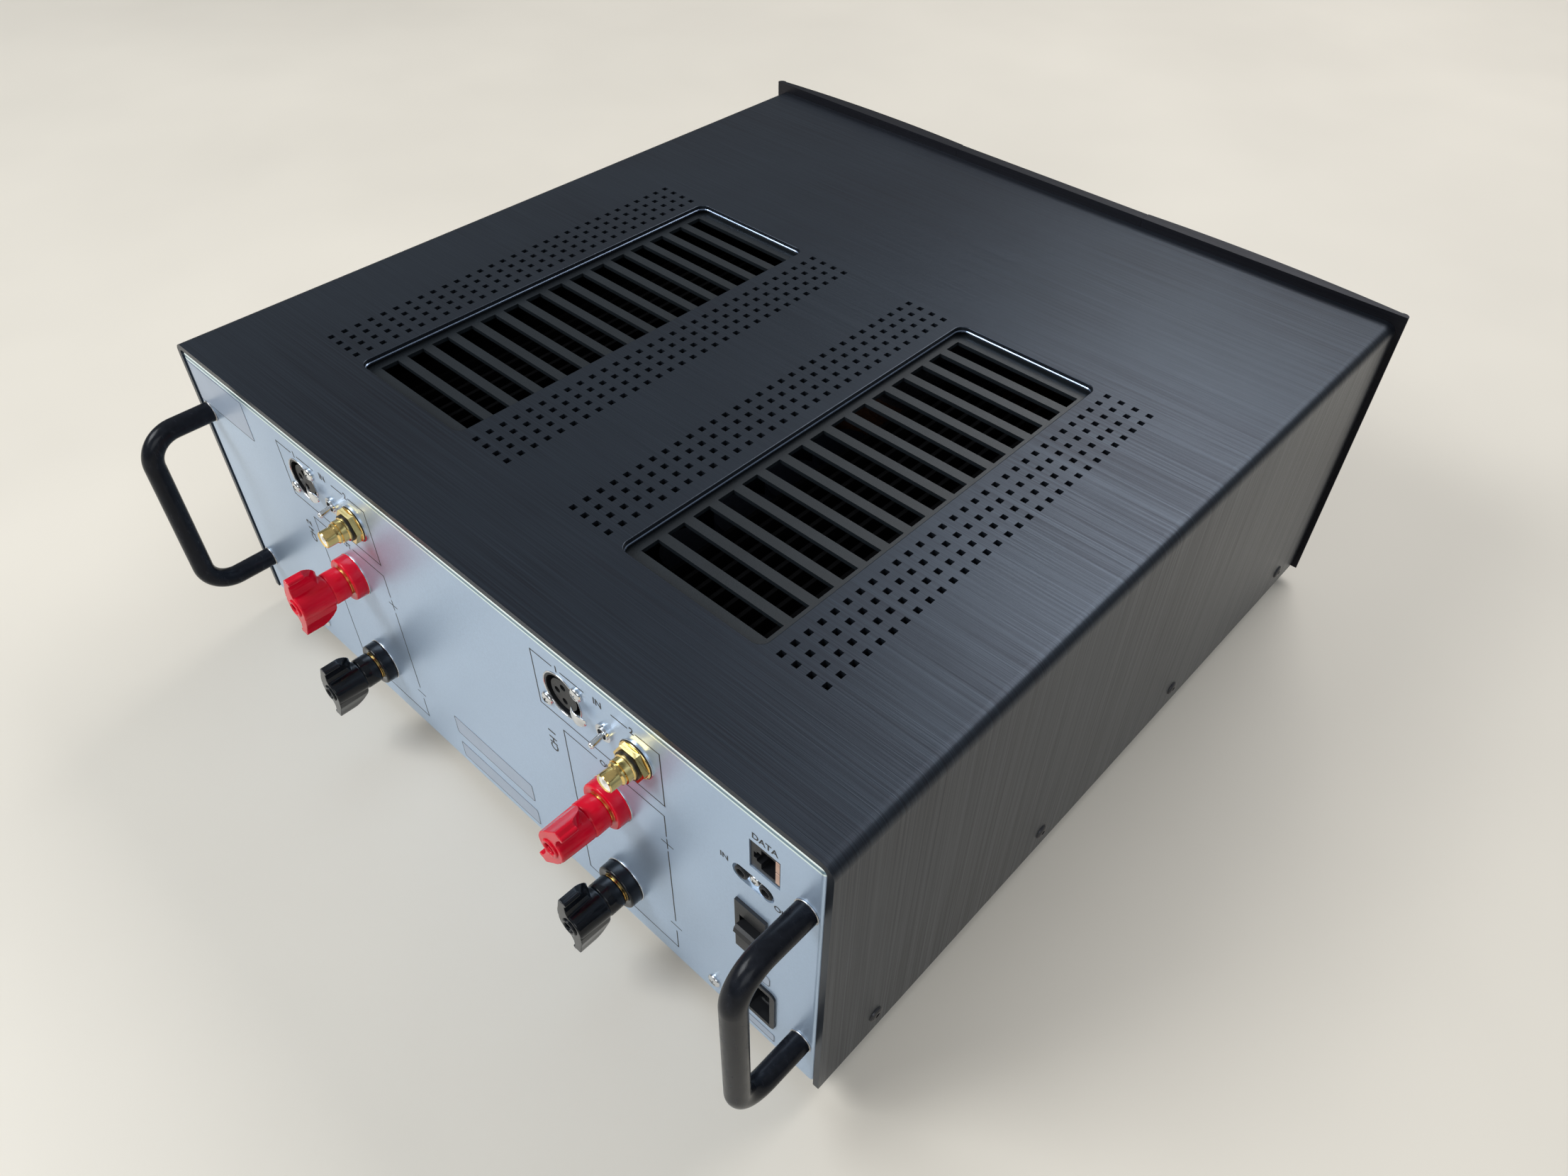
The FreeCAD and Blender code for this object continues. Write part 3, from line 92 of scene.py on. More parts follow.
def make_camera():
    camera = bpy.data.objects.new("camera", bpy.data.cameras.new("camera"))
    bpy.context.scene.collection.objects.link(camera)
    camera.data.sensor_width = 36
    camera.data.lens = CAMERA_LENS
    camera.data.clip_start = 0.02
    camera.location = CAMERA_PLACE
    heading, slope = CAMERA_HEADING, CAMERA_SLOPE
    forward = Vector((math.cos(slope) * math.cos(heading), math.cos(slope) * math.sin(heading),
                      math.sin(slope)))
    point_at(camera, camera.location + forward, CAMERA_ROLL)
    bpy.context.scene.camera = camera


def area_light(name, place, target, size, power, tint=(1, 1, 1)):
    light = bpy.data.objects.new(name, bpy.data.lights.new(name, "AREA"))
    bpy.context.scene.collection.objects.link(light)
    light.data.shape = "RECTANGLE"
    light.data.size, light.data.size_y = size
    light.data.energy = power
    light.data.color = tint
    light.location = place
    point_at(light, Vector(target))


def make_sky():
    """A dome that is pale overhead and darker towards the horizon, for contrast in the plating."""
    world = bpy.data.worlds.new("studio")
    world.use_nodes = True
    tree = world.node_tree
    sky = tree.nodes["Background"]
    way = tree.nodes.new("ShaderNodeTexCoord")
    split = tree.nodes.new("ShaderNodeSeparateXYZ")
    ramp = tree.nodes.new("ShaderNodeValToRGB")
    tree.links.new(way.outputs["Generated"], split.inputs["Vector"])
    tree.links.new(split.outputs["Z"], ramp.inputs["Fac"])
    tree.links.new(ramp.outputs["Color"], sky.inputs["Color"])
    stops = ((HORIZON, HORIZON_TONE), (OVERHEAD, OVERHEAD_TONE))
    for element, (position, tone) in zip(ramp.color_ramp.elements, stops):
        element.position = position
        element.color = tone
    sky.inputs["Strength"].default_value = SKY_STRENGTH
    bpy.context.scene.world = world


def make_studio():
    """A plain pale floor, with soft lights overhead and beside the object."""
    make_sky()
    mesh = bpy.data.meshes.new("floor")
    corners = [(x * FLOOR_REACH, y * FLOOR_REACH, 0)
               for x, y in ((-1, -1), (1, -1), (1, 1), (-1, 1))]
    mesh.from_pydata(corners, [], [(0, 1, 2, 3)])
    floor = bpy.data.objects.new("floor", mesh)
    bpy.context.scene.collection.objects.link(floor)
    shade = Shade("floor_pale", (0.66, 0.61, 0.53), roughness=0.55)
    shade.tint(shade.noise(3.0, detail=3), 0.08)
    mesh.materials.append(shade.material)

    area_light("window", (1.2, 1.6, 1.8), (0, 0.1, 0.05), (1.3, 1.0), 50, (0.95, 0.98, 1))
    area_light("far_ceiling", (-0.1, -1.7, 1.9), (0, 0, 0.1), (1.9, 1.0), 34)
    area_light("behind_camera", (-1.4, 1.7, 1.3), (0, 0, 0.05), (1.3, 1.1), 13, (0.92, 0.96, 1))
    bpy.context.scene.view_settings.view_transform = "Standard"


# ---- Materials ----

class Shade:
    """A Principled material that gets its detail from procedural nodes."""

    def __init__(self, name, color, metallic=0.0, roughness=0.5, **more):
        self.material = bpy.data.materials.new(name)
        self.material.use_nodes = True
        self.tree = self.material.node_tree
        self.surface = self.tree.nodes["Principled BSDF"]
        self.color = color
        self.roughness = roughness
        self.put("Base Color", (*color, 1))
        self.put("Metallic", metallic)
        self.put("Roughness", roughness)
        for socket, value in more.items():
            self.put(socket.replace("_", " "), value)
        self.bumped = None

    def put(self, socket, value):
        self.surface.inputs[socket].default_value = value

    def link(self, output, target):
        self.tree.links.new(output, target)

    def coordinates(self, stretch=(1, 1, 1)):
        """Object coordinates, squeezed so that detail gets finer along an axis."""
        source = self.tree.nodes.new("ShaderNodeTexCoord")
        mapping = self.tree.nodes.new("ShaderNodeMapping")
        mapping.inputs["Scale"].default_value = stretch
        self.link(source.outputs["Object"], mapping.inputs["Vector"])
        return mapping.outputs["Vector"]

    def noise(self, scale, stretch=(1, 1, 1), detail=4.0, rough=0.55, low=0.3, high=0.7):
        """Noise between 0 and 1, with its contrast set by two thresholds."""
        node = self.tree.nodes.new("ShaderNodeTexNoise")
        node.inputs["Scale"].default_value = scale
        node.inputs["Detail"].default_value = detail
        node.inputs["Roughness"].default_value = rough
        self.link(self.coordinates(stretch), node.inputs["Vector"])
        return self.remap(node.outputs["Fac"], low, high, 0.0, 1.0)

    def remap(self, value, low, high, start, end):
        node = self.tree.nodes.new("ShaderNodeMapRange")
        for socket, number in (("From Min", low), ("From Max", high), ("To Min", start),
                               ("To Max", end)):
            node.inputs[socket].default_value = number
        self.link(value, node.inputs["Value"])
        return node.outputs["Result"]

    def multiply(self, first, second):
        node = self.tree.nodes.new("ShaderNodeMath")
        node.operation = "MULTIPLY"
        self.link(first, node.inputs[0])
        self.link(second, node.inputs[1])
        return node.outputs["Value"]

    def edges(self, start=0.52, end=0.62):
        """1 on convex edges and 0 elsewhere, from the mesh's pointiness."""
        node = self.tree.nodes.new("ShaderNodeNewGeometry")
        return self.remap(node.outputs["Pointiness"], start, end, 0.0, 1.0)

    def height_above(self, start, end):
        """0 below the first height and 1 above the second."""
        node = self.tree.nodes.new("ShaderNodeSeparateXYZ")
        self.link(self.coordinates(), node.inputs["Vector"])
        return self.remap(node.outputs["Z"], start, end, 0.0, 1.0)

    def paint(self, factor, color):
        """Mixes a colour over the base where the factor is 1."""
        mix = self.tree.nodes.new("ShaderNodeMix")
        mix.data_type = "RGBA"
        target = self.surface.inputs["Base Color"]
        if target.is_linked:
            self.link(target.links[0].from_socket, mix.inputs["A"])
        else:
            mix.inputs["A"].default_value = (*self.color, 1)
        mix.inputs["B"].default_value = (*color, 1)
        self.link(factor, mix.inputs["Factor"])
        self.link(mix.outputs["Result"], target)

    def tint(self, factor, amount):
        """Varies the base colour's brightness by up to the given share."""
        self.paint(factor, tuple(channel * (1 + amount) for channel in self.color))

    def vary_roughness(self, factor, amount):
        self.link(self.remap(factor, 0, 1, self.roughness - amount, self.roughness + amount),
                  self.surface.inputs["Roughness"])

    def bump(self, height, strength, distance=0.0002):
        node = self.tree.nodes.new("ShaderNodeBump")
        node.inputs["Strength"].default_value = strength
        node.inputs["Distance"].default_value = distance
        self.link(height, node.inputs["Height"])
        if self.bumped:
            self.link(self.bumped, node.inputs["Normal"])
        self.bumped = node.outputs["Normal"]
        self.link(self.bumped, self.surface.inputs["Normal"])


def brushed_cover():
    """Dark anodised sheet: brush lines along X on top and along Z on the sides."""
    shade = Shade("cover_brushed", (0.027, 0.034, 0.045), metallic=0.75, roughness=0.35)
    fine = shade.noise(1.0, (16, 3200, 16), detail=3)
    broad = shade.noise(1.0, (7, 1100, 7), detail=3, low=0.35, high=0.65)
    cloud = shade.noise(7.0, detail=3)
    shade.tint(fine, 0.60)
    shade.paint(shade.multiply(broad, cloud), (0.020, 0.022, 0.030))
    shade.vary_roughness(broad, 0.04)
    shade.bump(fine, 0.20, 0.00010)
    return shade.material


def brushed_front():
    """The front's thick plates: the same dark anodising, brushed along X."""
    shade = Shade("front_brushed", (0.016, 0.016, 0.020), metallic=0.75, roughness=0.34)
    fine = shade.noise(1.0, (14, 900, 2600), detail=3)
    shade.tint(fine, 0.5)
    shade.vary_roughness(shade.noise(9.0), 0.05)
    shade.bump(fine, 0.18, 0.00012)
    return shade.material


def panel_paint():
    """The connector panel's satin blue-grey anodising, with painted highlights and a painted shade
    band on the folded rim at the top.
    """
    shade = Shade("panel_satin", (0.44, 0.56, 0.72), metallic=0.62, roughness=0.33)
    grain = shade.noise(2600, detail=2)
    shade.tint(shade.noise(6.0, detail=3), 0.07)
    shade.paint(shade.multiply(shade.noise(11.0), shade.noise(900, detail=2)), (0.41, 0.525, 0.68))
    shade.vary_roughness(grain, 0.04)
    shade.bump(grain, 0.08, 0.00008)
    # Painted light on the folded rim under the cover: a bright painted highlight line, a dark teal
    # painted shade band, then a bright painted highlight up to the top edge.
    painted_rim_light_bands = ((4.9, 4.5, (0.86, 1.0, 1.0)), (3.9, 3.6, (0.20, 0.31, 0.38)),
             (2.3, 1.9, (0.90, 1.0, 1.0)))
    for start, end, color in painted_rim_light_bands:
        shade.paint(shade.height_above(PANEL_TOP - start * MM, PANEL_TOP - end * MM), color)
    return shade.material


def powder_steel(name, color, roughness=0.55, **more):
    """Dark coated sheet steel."""
    shade = Shade(name, color, metallic=0.2, roughness=roughness, **more)
    grain = shade.noise(1800, detail=2)
    shade.tint(shade.noise(40, detail=3), 0.35)
    shade.vary_roughness(grain, 0.07)
    shade.bump(grain, 0.15, 0.0001)
    return shade.material


def plated(name, color, roughness=0.16):
    """Polished plating with faint handling marks."""
    shade = Shade(name, color, metallic=1.0, roughness=roughness)
    marks = shade.noise(700, detail=4)
    shade.tint(shade.noise(260, detail=3), -0.18)
    shade.vary_roughness(marks, 0.05)
    shade.bump(marks, 0.05, 0.00005)
    return shade.material


def moulded(name, color, roughness=0.4, grain_scale=1500, grain=0.12, **more):
    """Moulded plastic with a fine grain and slightly paler convex edges."""
    shade = Shade(name, color, roughness=roughness, IOR=1.32, **more)
    texture = shade.noise(grain_scale, detail=3)
    shade.tint(shade.noise(120, detail=3), 0.18)
    shade.vary_roughness(texture, 0.05)
    shade.bump(texture, grain, 0.00006)
    shade.paint(shade.edges(0.54, 0.64), tuple(min(1, channel * 1.35 + 0.01) for channel in color))
    return shade.material


def polished(name, color):
    """Glossy moulded plastic with faint flow marks and fine scuffs."""
    shade = Shade(name, color, roughness=0.16, IOR=1.3, Coat_Weight=0.1, Coat_Roughness=0.05)
    scuffs = shade.multiply(shade.noise(1.0, (900, 120, 900), detail=3, low=0.55, high=0.8),
                            shade.noise(90, detail=2))
    shade.tint(shade.noise(70, detail=3), 0.22)
    shade.vary_roughness(shade.noise(300, detail=4), 0.06)
    shade.bump(scuffs, 0.06, 0.00004)
    return shade.material


def handle_finish():
    """Black anodised bar stock with a faint blue cast."""
    shade = Shade("handle_black", (0.007, 0.008, 0.011), roughness=0.24, IOR=1.22)
    marks = shade.noise(380, (1, 1, 0.35), detail=4)
    shade.tint(marks, 0.6)
    shade.vary_roughness(marks, 0.05)
    shade.bump(shade.noise(1900, detail=2), 0.05, 0.00005)
    return shade.material


def winding_wrap():
    """Clear tape wound round the transformer's windings."""
    shade = Shade("winding_wrap", (0.035, 0.014, 0.006), metallic=0.1, roughness=0.5)
    turns = shade.noise(1.0, (420, 420, 30), detail=2)
    shade.tint(turns, 0.7)
    shade.bump(turns, 0.4, 0.0006)
    return shade.material


def circuit_board():
    """Green solder mask with faint tracks."""
    shade = Shade("board_mask", (0.012, 0.11, 0.045), roughness=0.35)
    tracks = shade.noise(1.0, (260, 260, 260), detail=0, low=0.47, high=0.53)
    shade.paint(tracks, (0.02, 0.17, 0.07))
    shade.bump(tracks, 0.3, 0.0001)
    return shade.material


def status_glass():
    shade = Shade("status_glass", (0.75, 0.86, 1.0), roughness=0.15, Transmission_Weight=0.3)
    shade.tint(shade.noise(900), -0.2)
    return shade.material


def printed_ink():
    shade = Shade("printed_ink", (0.012, 0.013, 0.016), roughness=0.5)
    shade.tint(shade.noise(1500), 0.8)
    return shade.material


def label_film():
    shade = Shade("label_film", (0.31, 0.37, 0.46), roughness=0.33)
    shade.tint(shade.noise(60), 0.08)
    shade.bump(shade.noise(900), 0.05, 0.00005)
    return shade.material


MATERIALS = {
    "blue_black_cover": brushed_cover(),
    "front_aluminium": brushed_front(),
    "satin_panel": panel_paint(),
    "dark_steel": powder_steel("grille_coating", (0.0085, 0.0115, 0.0145), 0.42),
    "satin_black_metal": handle_finish(),
    "screw_black": powder_steel("screw_blackened", (0.020, 0.020, 0.024), 0.33),
    "screw_chrome": plated("bright_zinc", (0.78, 0.80, 0.82), 0.18),
    "gold": plated("gold_plate", (0.92, 0.66, 0.25), 0.14),
    "black_plastic": moulded("plastic_black", (0.009, 0.0095, 0.011), 0.36),
    "white_plastic": moulded("plastic_white", (0.80, 0.78, 0.72), 0.35),
    "gloss_red": polished("post_red", (0.58, 0.002, 0.018)),
    "gloss_black": polished("post_black", (0.0045, 0.0055, 0.0075)),
    "dark_washer": plated("washer_gold", (0.86, 0.62, 0.26), 0.2),
    "shield_metal": plated("shield_nickel", (0.62, 0.62, 0.62), 0.3),
    "copper_tab": plated("copper_tab", (0.80, 0.55, 0.45), 0.35),
    # Painted highlight: a bright metal colour for a thin strip along the inner edges of the vent
    # openings.
    "painted_edge_highlight": plated("vent_painted_highlight", (0.20, 0.25, 0.34), 0.28),
    "button_metal": plated("button_satin", (0.30, 0.31, 0.34), 0.34),
    "light_glass": status_glass(),
    "foot_plastic": moulded("foot_black", (0.020, 0.020, 0.021), 0.5),
    "foot_rubber": moulded("foot_pad_rubber", (0.028, 0.028, 0.028), 0.8, 700, 0.3),
    "toroid_wrap": winding_wrap(),
    "capacitor_sleeve": moulded("capacitor_blue", (0.004, 0.006, 0.014), 0.5),
    "rectifier_body": moulded("rectifier_black", (0.025, 0.025, 0.026), 0.55),
    # Heat sinks: near-black with almost no gloss, as painted shade inside the case under the vents.
    "sink_aluminium": powder_steel("sink_dark_painted_shade", (0.0015, 0.0015, 0.0018), 0.8,
                                   Specular_IOR_Level=0.05),
    "transistor_body": moulded("transistor_epoxy", (0.022, 0.022, 0.023), 0.5),
    "board_green": circuit_board(),
    "ink": printed_ink(),
    "label": label_film(),
}


def dress_nodes():
    """Gives every CAD node the material of its slot, and the clamp a darker one as painted shade.

    The clamp lies under the vents, whose slots show as black; its darker colour is painted shade
    inside the case.
    """
    slots = {entry["node"]: entry["material_slot"] for entry in frame["record"]["subparts"]}
    for name, obj in nodes.items():
        obj.data.materials.clear()
        obj.data.materials.append(MATERIALS[slots[name]])
    # Painted shade: the clamp under the vents gets a darker material so that it reads as shade
    # inside the case.
    nodes["transformer_clamp"].data.materials[0] = MATERIALS["screw_black"]


def ease_edges():
    """Small rounded edges on the CAD nodes whose corners catch the light."""
    widths = {
        "vent_grille_left": 0.35, "vent_grille_right": 0.35, "front_subpanel": 0.3,
        "cover_screws": 0.15, "toggle_nuts": 0.15, "rca_nuts": 0.35,
        "xlr_socket_1": 0.25, "xlr_socket_2": 0.25, "network_jack": 0.12,
        "rocker_housing": 0.45, "rocker_paddle": 0.5, "mains_inlet": 0.3, "inlet_pins": 0.25,
        "post_studs": 0.2, "heatsink_left": 0.3, "heatsink_right": 0.3,
        "base_tray": 0.4, "standby_button": 0.15, "trigger_jacks": 0.2,
        "output_transistors": 0.4, "bridge_rectifiers": 0.5, "reservoir_capacitors": 1.2,
        "power_transformer": 9.0, "transformer_clamp": 0.6,
    }
    for name, width in widths.items():
        rounding = nodes[name].modifiers.new("eased_edges", "BEVEL")
        rounding.width = width * MM
        rounding.segments = 3 if width > 0.3 else 2
        rounding.limit_method = "ANGLE"
        rounding.angle_limit = math.radians(38)


# ---- Pieces made here: building blocks ----

# Turns a drawing's right, up and outward into the connector panel's, as seen from behind.
PANEL_TURN = Matrix(((-1, 0, 0, 0), (0, 0, 1, 0), (0, 1, 0, 0), (0, 0, 0, 1)))
INK_LIFT = 0.02 * MM
INK_DEPTH = 0.03 * MM
LINE_WIDTH = 0.6 * MM
BOX_FACES = ((0, 1, 3, 2), (4, 6, 7, 5), (0, 4, 5, 1), (2, 3, 7, 6), (0, 2, 6, 4), (1, 5, 7, 3))


def finished(shape, name):
    """Turns a bmesh into a mesh whose faces point outwards."""
    bmesh.ops.recalc_face_normals(shape, faces=shape.faces)
    mesh = bpy.data.meshes.new(name)
    shape.to_mesh(mesh)
    shape.free()
    return mesh


def add_piece(name, shape, body, slot, paint=None, smooth=True):
    """Puts a mesh or bmesh into the scene as a piece that rides on a body."""
    mesh = shape if isinstance(shape, bpy.types.Mesh) else finished(shape, name)
    piece = bpy.data.objects.new(name, mesh)
    bpy.context.scene.collection.objects.link(piece)
    mesh.materials.append(MATERIALS[paint or slot])
    if smooth:
        mesh.shade_smooth()
    else:
        mesh.shade_flat()
    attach(piece, body)
    return piece


def panel_spot(x, z, out=0.0):
    """The place on the connector panel's outer face at an X and a height."""
    return Matrix.Translation((x, PANEL_Y + out, z))


def bridge(shape, rings, closed=False):
    """Joins successive rings of corners by four-sided faces; closed joins the last to the first."""
    pairs = list(zip(rings, rings[1:]))
    if closed:
        pairs.append((rings[-1], rings[0]))
    for ring, after in pairs:
        for index in range(len(ring)):
            far = (index + 1) % len(ring)
            shape.faces.new((ring[index], ring[far], after[far], after[index]))


def extruded(shape, low, high):
    """Closes two matching rings of corners into a solid."""
    shape.faces.new(low[::-1])
    shape.faces.new(high)
    bridge(shape, [low, high])


def lathe(profile, steps=64, shape=None, spot=Matrix.Identity(4)):
    """Turns a closed profile of (radius, distance along Y), in millimetres, about the Y axis."""
    shape = shape or bmesh.new()
    rings = []
    for step in range(steps):
        angle = math.tau * step / steps
        rings.append([shape.verts.new(spot @ (MM * Vector((r * math.sin(angle), y,
                                                            r * math.cos(angle)))))
                      for r, y in profile])
    bridge(shape, rings, closed=True)
    return shape


def arc(centre, radius, start, end, steps=8):
    """Points along an arc, angles in degrees from the first axis."""
    angles = [math.radians(start + (end - start) * step / steps) for step in range(steps + 1)]
    return [(centre[0] + radius * math.cos(a), centre[1] + radius * math.sin(a)) for a in angles]


def rounded_rectangle(width, height, corner, steps=6):
    """Corner points of a rounded rectangle about the origin, counter-clockwise."""
    points = []
    for sx, sy, start in ((1, 1, 0), (-1, 1, 90), (-1, -1, 180), (1, -1, 270)):
        centre = (sx * (width / 2 - corner), sy * (height / 2 - corner))
        points += arc(centre, corner, start, start + 90, steps)
    return points


def prism(points, depth, place):
    """Extrudes points drawn on the panel's plane outwards from a place."""
    shape = bmesh.new()
    spot = Matrix.Translation(place) @ PANEL_TURN
    low, high = ([shape.verts.new(spot @ Vector((x, y, out))) for x, y in points]
                 for out in (0, depth))
    extruded(shape, low, high)
    return shape


def box_between(shape, corners):
    """Closes eight corners, ordered by X, then Y, then Z, into a box."""
    spots = [shape.verts.new(corner) for corner in corners]
    for face in BOX_FACES:
        shape.faces.new([spots[index] for index in face])


def baked(piece):
    """The mesh that a work piece's modifiers give; the piece is removed."""
    graph = bpy.context.evaluated_depsgraph_get()
    mesh = bpy.data.meshes.new_from_object(piece.evaluated_get(graph))
    bpy.data.objects.remove(piece)
    return mesh


def work_piece(mesh):
    piece = bpy.data.objects.new("work", mesh)
    bpy.context.scene.collection.objects.link(piece)
    return piece


def paint_faces(node, material, test):
    """Gives a second material to the faces of a CAD node that pass a test on their centre."""
    mesh = nodes[node].data
    mesh.materials.append(material)
    index = len(mesh.materials) - 1
    for face in mesh.polygons:
        if test(face.center):
            face.material_index = index


# ---- Printed outlines, short words and blank labels ----

# In millimetres: across to the left of a channel's middle, and up from the case floor.
INPUT_LEFT, INPUT_RIGHT, INPUT_HIGH, INPUT_LOW = 40.5, -33.5, 152.6, 120.5
INPUT_TOP_DASHES = ((INPUT_LEFT, 27.5), (22, 8.5), (-7.5, -16), (-21, INPUT_RIGHT))
OUTPUT_LEFT, OUTPUT_RIGHT, OUTPUT_HIGH, OUTPUT_LOW = 27.5, -32.5, 113, 11
TITLE_GAP = 7
SIGN_REACH = 3.2
SIGN_WIDTH = 0.55 * MM
PLUS_RISE, PLUS_GAP = 1.0, 5.5
MINUS_DROP, MINUS_GAP = 1.2, 4.5

# Words by channel: text, across, up, size and turn in degrees.
CHANNEL_WORDS = (("1", 24.7, INPUT_HIGH, 5, 0), ("IN", 0.5, INPUT_HIGH, 5, 0),
                 ("2", -18.5, INPUT_HIGH, 5, 0), ("OUT", 0, OUTPUT_HIGH, 4.8, 0),
                 ("CH %d", 36.8, 98, 6.6, 90))
# Words by part: text, the node they are placed from, across, up and size.
PART_WORDS = (("DATA", "network_jack", 0, 12.2, 4.6), ("IN", "trigger_jacks", 14.5, 2, 4.4),
              ("OUT", "trigger_jacks", -15, -4, 4.4), ("I / O", "rocker_housing", 0, -21, 4.6))

# Labels: name, X from the panel's middle, up from the case floor, width, height and corner.
LABELS = (("rating_label", 185.2, 147.8, 53, 23.6, 1.0),
          ("notice_label", -4, 31, 62, 13.4, 1.2), ("notice_strip", -4, 11, 62, 12.3, 1.2),
          ("fuse_label", -184.5, 54, 9, 8, 2.0), ("serial_label", -183.7, 7.6, 16.2, 6.6, 1.0))
LABEL_DEPTH = 0.08 * MM
BORDER_INSET = 0.4
BORDER_WIDTH = 0.3 * MM


def panel_strip(shape, start, end, width=LINE_WIDTH, lift=INK_LIFT):
    """A printed line between two places (X, height) on the connector panel."""
    start, end = Vector(start), Vector(end)
    along = (end - start).normalized()
    across = Vector((-along.y, along.x)) * width / 2
    start, end = start - along * width / 2, end + along * width / 2
    corners = [start - across, end - across, end + across, start + across]
    low, high = ([shape.verts.new((p.x, PANEL_Y + out, p.y)) for p in corners]
                 for out in (lift, lift + INK_DEPTH))
    extruded(shape, low, high)


def panel_text(text, x, z, size, turn=0.0):
    """Generic lettering as a flat mesh on the connector panel."""
    curve = bpy.data.curves.new("lettering", "FONT")
    curve.body = text
    curve.size = size
    curve.align_x, curve.align_y = "CENTER", "CENTER"
    curve.extrude = INK_DEPTH / 2
    curve.offset = size * 0.022
    curve.resolution_u = 3
    holder = bpy.data.objects.new("lettering", curve)
    mesh = bpy.data.meshes.new_from_object(holder)
    bpy.data.objects.remove(holder)
    bpy.data.curves.remove(curve)
    spot = panel_spot(x, z, INK_LIFT + INK_DEPTH / 2)
    mesh.transform(spot @ PANEL_TURN @ Matrix.Rotation(turn, 4, "Z"))
    return mesh


def outline_channel(shape, channel):
    """The outlines round one channel's inputs and outputs, with a plus and a minus."""
    def line(start, end, width=LINE_WIDTH):
        ends = [(channel["x"] + across * MM, CASE_FLOOR + up * MM) for across, up in (start, end)]
        panel_strip(shape, *ends, width)

    for start, end in INPUT_TOP_DASHES:
        line((start, INPUT_HIGH), (end, INPUT_HIGH))
    line((INPUT_LEFT, INPUT_HIGH), (INPUT_LEFT, INPUT_LOW))
    line((INPUT_LEFT, INPUT_LOW), (INPUT_RIGHT, INPUT_LOW))
    line((INPUT_RIGHT, INPUT_LOW), (INPUT_RIGHT, INPUT_HIGH))

    plus = (channel["red"].z - CASE_FLOOR) / MM + PLUS_RISE
    minus = (channel["black"].z - CASE_FLOOR) / MM - MINUS_DROP
    line((OUTPUT_LEFT, OUTPUT_HIGH), (TITLE_GAP, OUTPUT_HIGH))
    line((-TITLE_GAP, OUTPUT_HIGH), (OUTPUT_RIGHT, OUTPUT_HIGH))
    line((OUTPUT_LEFT, OUTPUT_HIGH), (OUTPUT_LEFT, OUTPUT_LOW))
    line((OUTPUT_LEFT, OUTPUT_LOW), (OUTPUT_RIGHT, OUTPUT_LOW))
    for start, end in ((OUTPUT_LOW, minus - MINUS_GAP), (minus + MINUS_GAP, plus - PLUS_GAP),
                       (plus + PLUS_GAP, OUTPUT_HIGH)):
        line((OUTPUT_RIGHT, start), (OUTPUT_RIGHT, end))
    for up in (plus, minus):
        line((OUTPUT_RIGHT - SIGN_REACH, up), (OUTPUT_RIGHT + SIGN_REACH, up), SIGN_WIDTH)
    line((OUTPUT_RIGHT, plus - SIGN_REACH), (OUTPUT_RIGHT, plus + SIGN_REACH), SIGN_WIDTH)


def make_legends():
    """Outlines round the inputs and outputs, and short generic words."""
    ink = bmesh.new()
    for channel in CHANNELS:
        outline_channel(ink, channel)
        for text, across, up, size, turn in CHANNEL_WORDS:
            text = text.replace("%d", str(channel["number"]))
            ink.from_mesh(panel_text(text, channel["x"] + across * MM, CASE_FLOOR + up * MM,
                                     size * MM, math.radians(turn)))
    for text, node, across, up, size in PART_WORDS:
        centre = middle(node)
        ink.from_mesh(panel_text(text, centre.x + across * MM, centre.z + up * MM, size * MM))
    add_piece("panel_legends", ink, "case", "gloss_black", "ink", smooth=False)


def make_labels():
    """Blank film labels, where such an object carries its rating and notices."""
    borders = bmesh.new()
    for name, x, up, width, height, corner in LABELS:
        x, z = x * MM, CASE_FLOOR + up * MM
        outline = rounded_rectangle(width * MM, height * MM, corner * MM)
        add_piece(name, prism(outline, LABEL_DEPTH, (x, PANEL_Y + INK_LIFT, z)), "case",
                  "satin_panel", "label", smooth=False)
        inset = rounded_rectangle((width - 2 * BORDER_INSET) * MM,
                                  (height - 2 * BORDER_INSET) * MM, corner * MM)
        spots = [(x - across, z + rise) for across, rise in inset]
        for start, end in zip(spots, spots[1:] + spots[:1]):
            panel_strip(borders, start, end, BORDER_WIDTH, INK_LIFT + LABEL_DEPTH)
    add_piece("label_borders", borders, "case", "gloss_black", "ink", smooth=False)


# ---- Loudspeaker posts, in millimetres out from the panel ----

KNOB_NECK, KNOB_FACE = 15.6, 32.4
KNOB_BORE, MOUTH_RADIUS, END_WALL = 4.2, 2.8, 1.2
# One wing by height above the post's axis: its flush side, its hollow side, and how far its back
# edge lies from the neck on each of them.
WING_START = KNOB_NECK + 0.3
WING_STATIONS = ((2.0, -7.7, 0.5, 0.0, 2.6), (6.5, -7.4, 1.0, 0.1, 3.0),
                 (8.5, -6.9, -0.4, 0.4, 3.6), (10.5, -6.4, -1.2, 1.1, 4.3),
                 (12.5, -6.0, -1.4, 2.2, 5.1), (14.3, -5.7, -1.4, 3.7, 6.0),
                 (15.8, -5.4, -1.3, 5.4, 7.1), (16.9, -5.1, -1.2, 7.0, 8.2),
                 (17.5, -4.3, -1.4, 8.3, 9.0))
BEAD_RADIUS, BEAD_ACROSS, BEAD_HEIGHT, BEAD_START = 1.2, 1.2, 16.9, WING_START + 8.2
# How each knob was left standing, in degrees.
KNOB_TURNS = {"red_1": -36, "black_1": -2, "red_2": -12, "black_2": -12}


